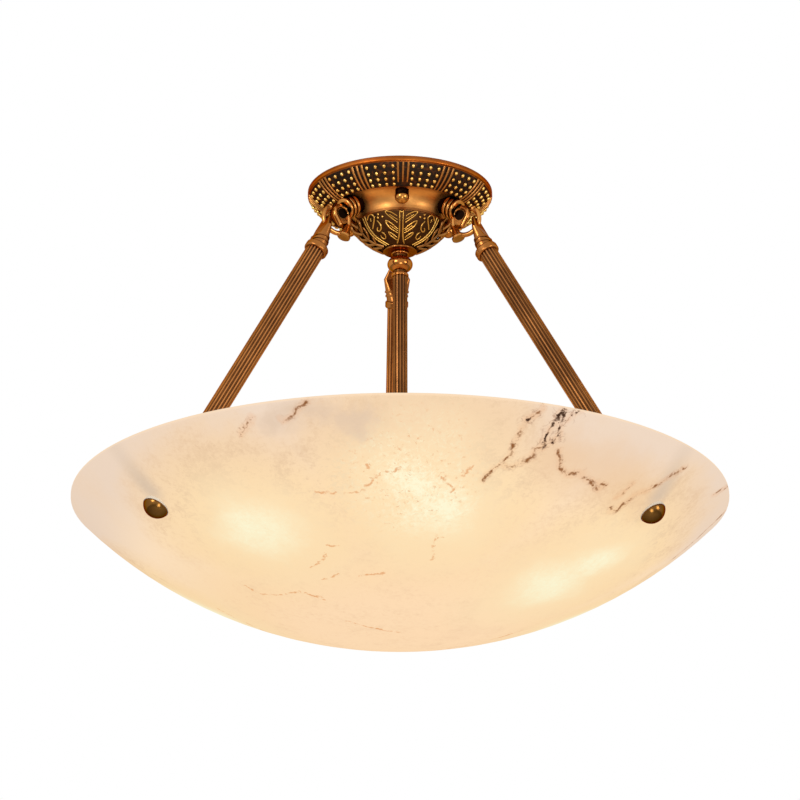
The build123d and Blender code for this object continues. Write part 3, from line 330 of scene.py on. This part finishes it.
# At the nuts the ribs stop short, so the black ground continues the dark upper ends of the nuts, partly as
# painted shade.
short_ribs = rib_groups("short_ribs", NUT_GROUPS, reach=0.76, narrowing=0.80)
ribs = joined([long_ribs, short_ribs], "band_ribs")

bead_brass = old_brass(
    "bead_brass", worn=(0.66, 0.34, 0.075), bright=(0.90, 0.64, 0.20), tarnish_and_shade=(0.05, 0.02, 0.008),
    reach=0.0016, hollow=(0.30, 0.85), polish=0.22,
)
rib_brass = old_brass(
    "rib_brass", worn=(0.42, 0.165, 0.042), bright=(0.60, 0.27, 0.075), tarnish_and_shade=(0.03, 0.013, 0.006),
    reach=0.002, hollow=(0.35, 0.85), polish=0.28,
)
made_of(beads, bead_brass)
made_of(ribs, rib_brass)


# The pan is spun from brass sheet, with a narrow shoulder and a deep cove, and polished on the lathe.
# Three ball nuts on the plate's studs hold it up. Their upper ends are nearly black, partly dark patina and
# partly painted shade under the band.
PAN_SHADE_HEIGHTS = (-0.034, -0.022)
NUT_NECK = (-0.0276, -0.0262)


def spun_rings(place):
    shrunk = place.node("VectorMath", {"operation": "SCALE"}, {0: place, "Scale": 0.06})
    rings = place.node("CombineXYZ", {}, {0: from_axis(place), 1: height_of(place), 2: 0.0})
    return shrunk.vector("ADD", rings)


def pan_rings_and_shade(place):
    rings = spun_rings(place).noise(260, detail=5, roughness=0.65)
    # The pan's lower part is painted darker, as shade.
    low = 1 - height_of(place).rise(*PAN_SHADE_HEIGHTS)
    return (rings - 0.5) * 0.55 + low * 0.28


spun_brass = old_brass(
    "spun_brass", worn=(0.67, 0.290, 0.074), bright=(0.85, 0.408, 0.114), tarnish_and_shade=(0.08, 0.028, 0.009),
    reach=0.012, hollow=(0.5, 1.0), polish=0.40, stain_and_shade=pan_rings_and_shade,
)
dress(spun_brass, "canopy_pan")


# The nuts' upper ends are darkened: dark patina and painted shade under the band's edge.
def nut_neck_patina_and_shade(place):
    return height_of(place).rise(*NUT_NECK)


nut_brass = old_brass(
    "nut_brass", worn=(0.40, 0.15, 0.03), bright=(0.58, 0.25, 0.055),
    reach=0.003, polish=0.18, stain_and_shade=nut_neck_patina_and_shade,
)
dress(nut_brass, "cap_washers", "cap_nut_front", "cap_nut_right", "cap_nut_left")


# The cup under the pan is cast with palm leaves, tendrils and berries in raised line, and a leaf each side.
# Its ground is blackened, and the raised lines are rubbed bright.
# Each line's points are an azimuth in degrees, a radius in millimetres and, for the side leaves, a lift.
CUP_MIDDLE, CUP_LEVEL, CUP_CURVE = -0.3657, -16.3831, 45.5446
CUP_LIP = (-0.0355, -0.0349)
PALM_LIFT = 0.2


def cup_stain(place):
    return 0.85 - height_of(place).rise(*CUP_LIP)


cup_ground = old_brass(
    "cup_ground", worn=(0.30, 0.115, 0.030), bright=(0.42, 0.17, 0.045), tarnish_and_shade=(0.022, 0.010, 0.006),
    reach=0.003, hollow=(0.4, 0.9), polish=0.36, stain_and_shade=cup_stain,
)
dress(cup_ground, "canopy_cup")


def around(azimuth, radius, height):
    turn = math.radians(azimuth)
    return Vector((radius * math.sin(turn), -radius * math.cos(turn), height))


def on_cup(azimuth, radius, lift=PALM_LIFT):
    drop = math.acos((radius - CUP_MIDDLE) / CUP_CURVE)
    out = CUP_MIDDLE + (CUP_CURVE + lift) * math.cos(drop)
    height = CUP_LEVEL - (CUP_CURVE + lift) * math.sin(drop)
    return around(azimuth, out, height) / PER_METRE


def both_sides(lines, **shape):
    return [
        raised_line([on_cup(side * azimuth, *rest) for azimuth, *rest in points], thickness, **shape)
        for points, thickness in lines
        for side in (1, -1)
    ]


def settled():
    bpy.ops.object.transform_apply(location=True, rotation=True, scale=True)
    return bpy.context.object


palm_lines = [
    ([(2.4, 40.6), (2.4, 36.0), (2.8, 30.6), (4.6, 23.0), (10.2, 17.2)], 1.9),
    ([(5.9, 35.1), (15.0, 38.1), (21.3, 40.2), (22.0, 41.3), (14.2, 40.8), (6.0, 38.7)], 1.5),
    ([(16.5, 39.6), (5.7, 36.8)], 1.3),
    ([(6.2, 27.6), (18.0, 31.0), (23.4, 34.8), (23.6, 37.2), (16.2, 35.4), (6.0, 30.8)], 1.5),
    ([(18.0, 33.6), (6.4, 29.4)], 1.3),
    ([(10.0, 21.0), (21.6, 25.1), (24.6, 29.6), (17.2, 27.4), (9.4, 23.6)], 1.4),
    ([(52.4, 39.4), (47.8, 41.2), (43.0, 41.2), (38.2, 39.8), (43.4, 36.9), (50.2, 34.0)], 1.6),
    ([(46.4, 39.6), (46.8, 38.0)], 1.3),
    ([(36.4, 37.6), (32.4, 35.0), (35.0, 31.8), (42.8, 30.6), (43.0, 33.0), (39.0, 33.8)], 1.5),
    ([(36.5, 30.0), (31.0, 27.6), (35.9, 23.5), (44.5, 24.9), (42.0, 27.8)], 1.4),
    ([(55.0, 41.3), (57.0, 37.0), (56.0, 31.0), (52.0, 25.0), (39.6, 17.2)], 1.8),
    ([(60.0, 41.0), (61.5, 36.0), (61.0, 30.0), (58.0, 24.0), (48.6, 17.2)], 1.7),
]
EYE_AT, EYE_LEAN, EYE_RADIUS, EYE_WIRE = (0, 41.0, 0.0), math.radians(60), 0.0019, 0.0009
BERRIES, BERRY_RADIUS = ((32.4, 40.4), (26.9, 39.0), (33.7, 38.9)), 0.0013
palms = both_sides(palm_lines)
bpy.ops.mesh.primitive_torus_add(
    location=on_cup(*EYE_AT), rotation=(EYE_LEAN, 0, 0), major_radius=EYE_RADIUS,
    minor_radius=EYE_WIRE, major_segments=20, minor_segments=8,
)
palms.append(settled())
for azimuth, radius in BERRIES:
    for side in (1, -1):
        berry_at = on_cup(side * azimuth, radius, 0.0)
        bpy.ops.mesh.primitive_ico_sphere_add(subdivisions=2, radius=BERRY_RADIUS, location=berry_at)
        palms.append(settled())
palm_relief = joined(palms, "cup_palms")
bpy.ops.object.shade_smooth()
half_turns = [about_axis(turn) for turn in (0, 180)]
palm_relief = copies(palm_relief, "cup_palms", half_turns)
palm_brass = old_brass(
    "palm_brass", worn=(0.56, 0.29, 0.062), bright=(0.82, 0.50, 0.12), tarnish_and_shade=(0.05, 0.022, 0.009),
    reach=0.0015, hollow=(0.5, 0.95), polish=0.24,
)
made_of(palm_relief, palm_brass)

side_leaf_lines = [
    ([(60, 17.4, 0.4), (71, 22, 0.8), (76, 28, 1.2), (77, 34, 1.6), (75, 40, 2.4)], 3.2),
    ([(70, 17.6, 0.4), (80, 20.0, 1.0), (87, 21.5, 1.6), (90, 24.0, 1.8)], 3.0),
    ([(75, 24.0, 0.8), (84, 26.0, 1.8), (90, 28.5, 2.6), (91, 31.0, 2.4)], 3.4),
    ([(77, 29.5, 1.0), (86, 32.0, 2.4), (92, 35.0, 3.4), (92, 37.5, 3.0)], 3.6),
    ([(77, 34.5, 1.6), (86, 37.5, 3.4), (92, 40.5, 4.8), (90, 42.4, 4.4)], 3.8),
    ([(75, 38.5, 2.2), (82, 41.5, 4.0), (84, 43.2, 5.0), (78, 43.4, 4.4)], 3.4),
    ([(73, 36.0, 1.4), (68, 38.5, 2.2), (65, 41.0, 2.8), (69, 42.6, 3.0)], 2.8),
    ([(72, 30.0, 1.0), (66, 32.5, 1.4), (64, 35.5, 1.6), (66, 37.5, 1.4)], 2.4),
    ([(69, 24.0, 0.7), (64, 26.0, 1.0), (62, 29.0, 1.0)], 2.2),
]
side_leaves = joined(both_sides(side_leaf_lines, ends=(0.9, 0.55)), "cup_leaves")
side_leaves = copies(side_leaves, "cup_leaves", half_turns)
leaf_brass = old_brass(
    "leaf_brass", worn=(0.28, 0.115, 0.034), bright=(0.44, 0.20, 0.058), tarnish_and_shade=(0.020, 0.009, 0.005),
    reach=0.005, hollow=(0.25, 0.65), polish=0.3,
)
made_of(side_leaves, leaf_brass)


# The flange, the flattened ball and the collar are turned from brass bar and stacked on the nipple.
# They take the brightest polish, with black left in the necks between them and painted shade there too.
UPPER_NECK = (-0.0672, -0.0662, -0.0650, -0.0640)
LOWER_NECK = (-0.0832, -0.0822, -0.0812, -0.0800)
FLANGE_FOOT = (-0.0613, -0.0611)


def in_neck(height, start, full, fading, end):
    return height.rise(start, full) * (1 - height.rise(fading, end))


# The necks and the flange's top are darkened: black left in the necks, and painted shade under the parts
# above.
def neck_black_and_shade(place):
    height = height_of(place)
    upper = in_neck(height, *UPPER_NECK)
    lower = in_neck(height, *LOWER_NECK)
    flange = height.rise(*FLANGE_FOOT) * 0.5
    return (upper + lower + flange) * 0.8


turned_brass = old_brass(
    "turned_brass", worn=(0.37, 0.128, 0.028), bright=(0.52, 0.205, 0.048),
    reach=0.006, hollow=(0.45, 0.95), polish=0.16, stain_and_shade=neck_black_and_shade,
)
dress(turned_brass, "cup_flange", "neck_ball", "stem_collar")


# The stem and the three arms are brass tubes drawn with flutes, dark in the hollows and rubbed on the crests.
# The stem screws on the nipple, and the arm tubes slip on the spigots of the arm ends.
UP = Vector((0, 0, 1))
STEM_RADIUS, STEM_PAINTED_LIGHT = 0.007, 0.70
FLUTE_FLOOR, FLUTE_CREST = 0.0008, 0.0001
FLUTE_WORN, FLUTE_BRIGHT = Vector((0.33, 0.127, 0.038)), Vector((0.48, 0.187, 0.053))
FLUTE_TARNISH_AND_SHADE = (0.024, 0.010, 0.005)
ARM_RADIUS, ARM_LEAN, COLLAR_AT = 0.009, math.radians(29.852), (0.09135, -0.07769)
# Each tube's colours are scaled lighter or darker as painted light, by how light falls on that tube.
ARM_PAINTED_LIGHT = {"right": 0.82, "rear": 1.55, "left": 1.12}
OUTWARD = {"right": around(60, 1, 0), "rear": around(180, 1, 0), "left": around(-60, 1, 0)}


def off_axis(place, start, along):
    swept = place.vector("SUBTRACT", start).vector("CROSS_PRODUCT", along)
    return swept.vector("LENGTH", outlet="Value")


def fluted_brass(name, radius, start, along, painted_light):
    def flute_stain(place):
        out = off_axis(place, start, along)
        return 0.78 - out.rise(radius - FLUTE_FLOOR, radius - FLUTE_CREST) * 0.9

    # The tube's colours carry its painted light.
    return old_brass(
        name, worn=FLUTE_WORN * painted_light, bright=FLUTE_BRIGHT * painted_light, tarnish_and_shade=FLUTE_TARNISH_AND_SHADE,
        reach=0.004, hollow=(0.7, 1.0), polish=0.3, stain_and_shade=flute_stain,
    )


def beside(outward, spot):
    return outward * spot[0] + UP * spot[1]


def leaning(outward, lean):
    return outward * math.sin(lean) - UP * math.cos(lean)


dress(fluted_brass("stem_flutes", STEM_RADIUS, (0, 0, 0), UP, STEM_PAINTED_LIGHT), "stem_tube")
for side, outward in OUTWARD.items():
    collar, downward = beside(outward, COLLAR_AT), leaning(outward, ARM_LEAN)
    flutes = fluted_brass(f"arm_flutes_{side}", ARM_RADIUS, collar, downward, ARM_PAINTED_LIGHT[side])
    dress(flutes, f"arm_tube_{side}")


# Three hooks are cast with a reeded boss, a curl, an open ring and a foot, and bolt through the pan.
# The arm ends hang in them by an eye, and each end carries its fluted tube on a spigot.
BOSS_AT, BOSS_LEAN, CURL_AT = (0.04639, -0.02139), math.radians(59.7), (0.06373, -0.03575)
REED_DEPTH, REED_END, CURL_EAR = (0.0099, 0.0106), (0.0160, 0.0168), (0.0046, 0.0058)


def hook_brass(name, outward):
    start, along = beside(outward, BOSS_AT), leaning(outward, BOSS_LEAN)
    curl, sideways = beside(outward, CURL_AT), outward.cross(UP)

    # The reed grooves and the curl's eye are darkened: dark patina and painted shade in them.
    def hook_patina_and_shade(place):
        reach = place.vector("SUBTRACT", start).vector("DOT_PRODUCT", along, outlet="Value")
        grooves = 1 - off_axis(place, start, along).rise(*REED_DEPTH)
        grooves = grooves * (1 - reach.rise(*REED_END))
        ear = 1 - off_axis(place, curl, sideways).rise(*CURL_EAR)
        return grooves.most(ear) * 1.1

    return old_brass(
        name, worn=(0.42, 0.16, 0.038), bright=(0.66, 0.30, 0.078), tarnish_and_shade=(0.012, 0.005, 0.0025),
        reach=0.005, hollow=(0.30, 0.75), polish=0.24, stain_and_shade=hook_patina_and_shade,
    )


for side, outward in OUTWARD.items():
    dress(hook_brass(f"hook_brass_{side}", outward), f"hook_{side}")
end_brass = old_brass(
    "end_brass", worn=(0.30, 0.108, 0.026), bright=(0.44, 0.17, 0.042), tarnish_and_shade=(0.016, 0.007, 0.003),
    reach=0.004, hollow=(0.28, 0.75), polish=0.26,
)
dress(end_brass, "arm_end_right", "arm_end_rear", "arm_end_left")
dress(end_brass, "arm_foot_right", "arm_foot_rear", "arm_foot_left")


# The lamp hub and its six short tubes are brass, plain because the bowl hides them.
# Each holder is a glazed porcelain body, and each lamp a frosted bulb that is lit.
dress(turned_brass, "lamp_hub", "hub_cover", "lamp_arms")
glaze = moulded(
    "white_glaze", pale=(0.82, 0.81, 0.78), deep=(0.74, 0.73, 0.70), roughness=0.12, grain=160
)
dress(glaze, "lamp_holders")

GLASS_PALE, GLASS_DEEP = (0.22, 0.20, 0.17), (0.19, 0.17, 0.14)
LIGHT_PALE, LIGHT_DEEP = (1.0, 0.86, 0.60), (1.0, 0.80, 0.50)
BULB_STRENGTH, FROST_SCALE = 0.85, 240


def lit_glass():
    finish, surface, place = new_finish("lit_glass", roughness=0.35, emission_strength=BULB_STRENGTH)
    frost = place.noise(FROST_SCALE)
    frost.blend(GLASS_PALE, GLASS_DEEP).feed(surface["Base Color"])
    frost.blend(LIGHT_PALE, LIGHT_DEEP).feed(surface["Emission Color"])
    return finish


dress(lit_glass(), *[f"bulb_{number}" for number in range(1, 7)])


# The bowl is turned from one block of alabaster and polished. The light of the lamps that soaks through the
# stone is painted on as a glow.
# Black, brown and rust veins cross it where the block had cracks, between patches of smoke and tan.
# Each line's points are an azimuth in degrees and a radius in millimetres. A hot spot's reach is in metres.
BOWL_MIDDLE, BOWL_OUTER = -4.4475, 429.852


def on_bowl(azimuth, radius):
    height = BOWL_MIDDLE - math.sqrt(BOWL_OUTER**2 - radius**2)
    return around(azimuth, radius, height) / PER_METRE


dark_veins = [
    [(24.8, 300), (24.5, 290), (24.0, 285), (24.0, 276), (24.3, 271)],
    [(24.8, 300.2), (25.5, 295), (25.4, 291), (24.5, 290.2)],
    [(28.4, 301), (26.5, 294), (25.4, 291.2), (26.3, 281), (25.6, 277)],
    [(20.4, 293), (19.4, 289)],
]
brown_veins = [
    [(18.4, 266), (18.6, 262), (17.9, 255), (16.3, 250), (15.1, 240)],
    [(17.9, 255.2), (18.6, 252), (19.3, 251)],
    [(24.3, 272), (22.9, 268), (23.0, 263), (20.8, 255), (19.3, 251.2)],
    [(21.4, 302), (21.4, 298), (19.4, 289.2), (19.0, 280), (18.4, 266.2)],
    [(27.7, 271), (28.3, 265), (29.6, 259), (31.9, 254), (34.4, 258), (36.8, 255), (41.0, 249)],
    [(37.9, 255), (42.0, 253)],
    [(47.8, 261), (47.1, 248)],
    [(57.2, 288), (53.2, 262), (50.7, 255), (49.7, 236), (47.9, 238)],
    [(76.5, 301), (75.8, 295), (74.1, 288)],
    [(90.0, 298), (93.0, 275), (96.0, 256)],
    [(-17.0, 300), (-19.9, 291), (-22.2, 288)],
    [(-27.0, 293), (-30.1, 283)],
]
rust_veins = [
    [(12.2, 251), (10.6, 241)],
    [(-23.3, 173), (-21.8, 170), (-19.6, 172)],
    [(-24.8, 162), (-28.4, 154), (-33.7, 148)],
    [(-25.1, 134), (-33.5, 129)],
    [(-18.4, 126), (-14.9, 129), (-8.9, 130)],
    [(-66.4, 151), (-68.2, 139), (-60.0, 126), (-48.8, 121), (-42.2, 100)],
    [(-56.2, 59), (-51.5, 36), (11.3, 8)],
    [(10.3, 179), (7.7, 179), (8.8, 150)],
    [(-8.5, 249), (-6.8, 239), (-2.0, 246)],
    [(-6.8, 239.2), (-10.4, 225), (-20.2, 227)],
    [(6.5, 238), (9.3, 230), (8.7, 223)],
    [(110, 120), (150, 96), (175, 120)],
    [(-105, 170), (-122, 150), (-131, 160)],
]
smoke_patches = [
    [(-11.5, 284), (-7.5, 286), (-9.0, 279)],
    [(-23.5, 293), (-18.5, 295), (-16.0, 289)],
    [(160, 285), (172, 280)],
    [(-110, 290), (-122, 280)],
]
tan_patches = [
    [(29.5, 267), (33.6, 263), (37.5, 264), (41.5, 259)],
    [(44.0, 262), (48.0, 258), (52.0, 256)],
    [(140, 280), (150, 262), (156, 252)],
]
arm_shadows = [
    [(-57.6, 262), (-57.4, 300)],
    [(57.4, 262), (54.0, 298)],
    [(180, 262), (180, 300)],
]
hot_spots = [
    (-40, 203, 0.062), (2.0, 233, 0.046), (6.5, 208, 0.054), (62, 150, 0.070),
    (64, 190, 0.050), (123, 195, 0.075), (180, 215, 0.075), (-120, 200, 0.075),
]
SPREAD_REACH, CRYSTAL_AT, CRYSTAL_REACH = 0.26, (0, 240), 0.085
SMOKE_REACH, TAN_REACH, SHADOW_REACH = 0.017, 0.044, 0.019
HALO_REACH, CRAZING_REACH, CRAZING_SCALE = 0.006, 0.009, 150.0
SAWN_EDGE = (-0.3118, -0.3108)


def away_from(place, spot):
    return place.vector("DISTANCE", spot, outlet="Value")


def off_line(place, lines):
    nearest = None
    for line in lines:
        trail = [on_bowl(*spot) for spot in line]
        for start, end in zip(trail, trail[1:]):
            leg = end - start
            gone = place.vector("SUBTRACT", start)
            share = gone.vector("DOT_PRODUCT", leg, outlet="Value")
            share = (share * (1 / leg.length_squared)).clip()
            along = place.node("VectorMath", {"operation": "SCALE"}, {0: leg, "Scale": share})
            gap = away_from(gone, along)
            nearest = gap if nearest is None else nearest.least(gap)
    return nearest


def wandered(place, scale, amount):
    drift = place.noise(scale, detail=4, roughness=0.6, outlet=1)
    drift = drift.vector("SUBTRACT", (0.5, 0.5, 0.5))
    return drift.vector("MULTIPLY_ADD", (amount,) * 3, place)


# Painted light: a hot spot and a wider spread of glow round each lamp.
def lamp_light(place):
    glow, spread = None, None
    for azimuth, radius, reach in hot_spots:
        off = away_from(place, on_bowl(azimuth, radius))
        near = (1 - off / reach).clip()
        far = (1 - off / SPREAD_REACH).clip()
        glow = near if glow is None else glow.most(near)
        spread = far if spread is None else spread.most(far)
    return glow, spread


def vein(gap, gate, thin, swell, edge, faint):
    line = 1 - (gap / (thin + gate * swell)).rise(edge, 1.0)
    return line * (faint + gate * (1 - faint))


PALE_END = (0.715, 0.550, 0.422)
PALE_LOW = (0.862, 0.645, 0.425)
WARM_BODY = (0.848, 0.588, 0.310)
LOW_TONE = (0.876, 0.612, 0.366)
RIM_SHADE_TONE = (0.690, 0.455, 0.272)
DUSK_TONE = (0.610, 0.385, 0.215)
GLOW_TONE = (0.856, 0.655, 0.372)
LAMP_HEART = (0.845, 0.800, 0.545)
SMOKE_TONE = (0.585, 0.418, 0.288)
TAN_TONE = (0.690, 0.420, 0.205)
SHADE_TONE = (0.520, 0.395, 0.285)
RUST_TONE = (0.640, 0.235, 0.040)
BROWN_TONE = (0.255, 0.092, 0.024)
BLACK_TONE = (0.034, 0.012, 0.004)
SAWN_TONE = (0.81, 0.590, 0.375)
STONE_DEEP, STONE_PALE = (0.155, 0.140, 0.125), (0.195, 0.175, 0.155)
VEIN_STONE = (0.02, 0.012, 0.008)


def alabaster():
    finish, surface, place = new_finish("lit_alabaster", emission_strength=1.0, specular_ior_level=0.0)
    drifted = wandered(place, scale=15, amount=0.05)
    crooked = wandered(place, scale=85, amount=0.011)
    cracked = wandered(crooked, scale=300, amount=0.004)
    cloud = drifted.noise(11, detail=6, roughness=0.62)
    milk = drifted.noise(34, detail=7, roughness=0.68)
    grain = crooked.noise(230, detail=6, roughness=0.8) - 0.5
    pinched = place.noise(140, detail=4, roughness=0.6)

    across = from_axis(place)
    glow, spread = lamp_light(drifted)
    crystal = 1 - (away_from(drifted, on_bowl(*CRYSTAL_AT)) / CRYSTAL_REACH).rise(0.35, 1.0)
    # The glow's spread also warms the tone: painted light.
    upper = across.rise(0.17, 0.26)
    lamp_glow_warmth = spread.rise(0.44, 0.76).most(1 - across.rise(0.12, 0.25))
    lamp_glow_warmth = (lamp_glow_warmth + (cloud - 0.5) * 0.5).clip()
    low = 1 - across.rise(0.07, 0.19)
    pale = across.rise(0.215, 0.285).blend(PALE_LOW, PALE_END)
    tone = lamp_glow_warmth.blend(pale, low.blend(WARM_BODY, LOW_TONE))
    # Painted shade: the stone darkens towards the rim, which the lamps below light less.
    rim = across.rise(0.215, 0.300) * 0.85 + (cloud - 0.5) * 0.7 + (milk - 0.5) * 0.6
    tone = (rim.clip() * lamp_glow_warmth).blend(tone, RIM_SHADE_TONE)
    dusk = (milk.rise(0.42, 0.66) * 0.66 + grain * 3.4) * upper + (milk - 0.50) * 0.9 + grain * 1.8
    tone = (dusk * lamp_glow_warmth).clip().blend(tone, DUSK_TONE)
    bloom = ((spread - 0.52) * 1.95).rise(0.0, 1.0)
    tone = (bloom * (1.0 + (milk - 0.5) * 1.2 + grain * 1.4)).clip().blend(tone, GLOW_TONE)
    heart = glow.rise(0.18, 1.1) * (1.05 + (milk - 0.5) * 1.5 + grain * 2.0)
    heart = heart + grain * crystal * 3.4
    tone = heart.clip().blend(tone, LAMP_HEART)
    flecks = cracked.noise(260, roughness=0.6).rise(0.57, 0.68)
    flecks = flecks * crystal * pinched.rise(0.40, 0.60)
    tone = (flecks * 0.65).blend(tone, RUST_TONE)

    haze = 1 - (off_line(drifted, smoke_patches) / SMOKE_REACH + (milk - 0.5) * 2.4).rise(0.1, 1.1)
    tone = (haze * (0.36 + milk * 0.64)).clip().blend(tone, SMOKE_TONE)
    tan = 1 - (off_line(drifted, tan_patches) / TAN_REACH + (milk - 0.5) * 0.9).rise(0.0, 1.0)
    tone = (tan * (0.2 + milk * 0.75)).clip().blend(tone, TAN_TONE)
    shadow = 1 - (off_line(place, arm_shadows) / SHADOW_REACH).rise(0.0, 1.0)
    tone = (shadow * (0.75 - across.rise(0.262, 0.30) * 0.5)).clip().blend(tone, SHADE_TONE)

    black = off_line(cracked, dark_veins)
    brown = off_line(cracked, brown_veins)
    rust = off_line(cracked, rust_veins)
    gate = pinched.rise(0.38, 0.60)
    halo = (1 - (black.least(brown) / HALO_REACH).rise(0.0, 1.0)) * milk * 0.5
    tone = halo.clip().blend(tone, RUST_TONE)
    edges = {"Vector": cracked, "Scale": CRAZING_SCALE}
    cells = place.node("TexVoronoi", {"feature": "DISTANCE_TO_EDGE"}, edges)
    crazing = 1 - cells.rise(0.02, 0.11)
    crazing = crazing * (1 - (black.least(brown + 0.003) / CRAZING_REACH).rise(0.3, 1.0)) * gate
    tone = (crazing * 0.7).blend(tone, BROWN_TONE)
    red = vein(rust, gate, thin=0.0009, swell=0.0016, edge=0.2, faint=0.5)
    tone = (red * 0.8).blend(tone, RUST_TONE)
    umber = vein(brown.least(black), gate, thin=0.0009, swell=0.0017, edge=0.2, faint=0.5)
    tone = (umber * 0.9).blend(tone, BROWN_TONE)
    ink = vein(black, gate, thin=0.0004, swell=0.0024, edge=0.3, faint=0.25)
    tone = ink.blend(tone, BLACK_TONE)
    sawn = height_of(place).rise(*SAWN_EDGE)
    tone = (sawn * 0.65).blend(tone, SAWN_TONE)
    tone.feed(surface["Emission Color"])
    stone = (0.5 * cloud + 0.5 * milk).blend(STONE_DEEP, STONE_PALE)
    ink.most(umber).blend(stone, VEIN_STONE).feed(surface["Base Color"])
    (0.36 + milk * 0.18).feed(surface["Roughness"])
    (grain * 0.4 + milk).bump(strength=0.05, depth=0.001).feed(surface["Normal"])
    return finish


dress(alabaster(), "bowl")


# A domed knob screws through the stone into each arm's foot, over a clear washer.
# The washer keeps metal off the bowl, and a soft gasket does so on the inner side.
knob_brass = old_brass(
    "knob_brass", worn=(0.13, 0.054, 0.012), bright=(0.21, 0.095, 0.021),
    reach=0.004, hollow=(0.4, 0.9), polish=0.2,
)
rubber = moulded(
    "soft_rubber", pale=(0.07, 0.07, 0.07), deep=(0.04, 0.04, 0.04), roughness=0.6, grain=900
)
clear = moulded(
    "clear_washer", pale=(0.80, 0.74, 0.64), deep=(0.72, 0.65, 0.54), roughness=0.15, grain=900
)
dress(knob_brass, "bowl_knob_right", "bowl_knob_rear", "bowl_knob_left")
dress(rubber, "inner_gaskets")
dress(clear, "outer_washers")


# The room is a pale floor under the lamp and a white surround, lit by three soft boxes.
# The camera looks up at the lamp from the photograph's place.
FLOOR_SIZE, FLOOR_AT = 9, (0, 0, -1.7)
FLOOR_PALE, FLOOR_DEEP = (0.80, 0.80, 0.79), (0.77, 0.77, 0.76)
ROOM_LIGHT = 0.45
CAMERA_AT = (-0.0952, -2.7257, -1.18505)
CAMERA_TILT, CAMERA_TURN = math.radians(109.697), math.radians(-2)
bpy.ops.mesh.primitive_plane_add(size=FLOOR_SIZE, location=FLOOR_AT)
floor = bpy.context.object
floor.name = "floor"
floor_paint, floor_surface, floor_place = new_finish("floor_paint", roughness=0.7)
floor_place.noise(3, detail=2).blend(FLOOR_PALE, FLOOR_DEEP).feed(floor_surface["Base Color"])
floor.data.materials.append(floor_paint)

world = bpy.data.worlds.new("studio")
bpy.context.scene.world = world
world.use_nodes = True
air = Shade(world.node_tree)
shown = air.node("LightPath", {}, {}, "Is Camera Ray")
for ray in ("Is Glossy Ray", "Is Transmission Ray"):
    shown = shown.most(air.node("LightPath", {}, {}, ray))
background = world.node_tree.nodes["Background"].inputs
(ROOM_LIGHT + shown * (1 - ROOM_LIGHT)).feed(background["Strength"])
background["Color"].default_value = (1, 1, 1, 1)


def soft_box(name, place, aim, size, power):
    lamp = bpy.data.lights.new(name, "AREA")
    lamp.shape = "DISK"
    lamp.size = size
    lamp.energy = power
    box = bpy.data.objects.new(name, lamp)
    box.location = place
    box.rotation_euler = (Vector(aim) - Vector(place)).to_track_quat("-Z", "Y").to_euler()
    bpy.context.collection.objects.link(box)


soft_box("left_box", place=(-1.6, -2.0, 0.3), aim=(0, 0, -0.2), size=0.9, power=22)
soft_box("right_box", place=(1.9, -1.6, -0.3), aim=(0, 0, -0.2), size=0.8, power=14)
soft_box("low_box", place=(0.2, -1.8, -1.2), aim=(0, 0, -0.1), size=0.7, power=8)

lens = bpy.data.cameras.new("camera")
lens.lens = 140.71
lens.sensor_width = 36
lens.clip_end = 50
camera = bpy.data.objects.new("camera", lens)
camera.location = CAMERA_AT
camera.rotation_euler = (CAMERA_TILT, 0, CAMERA_TURN)
bpy.context.collection.objects.link(camera)
bpy.context.scene.camera = camera
bpy.context.scene.view_settings.view_transform = "Standard"
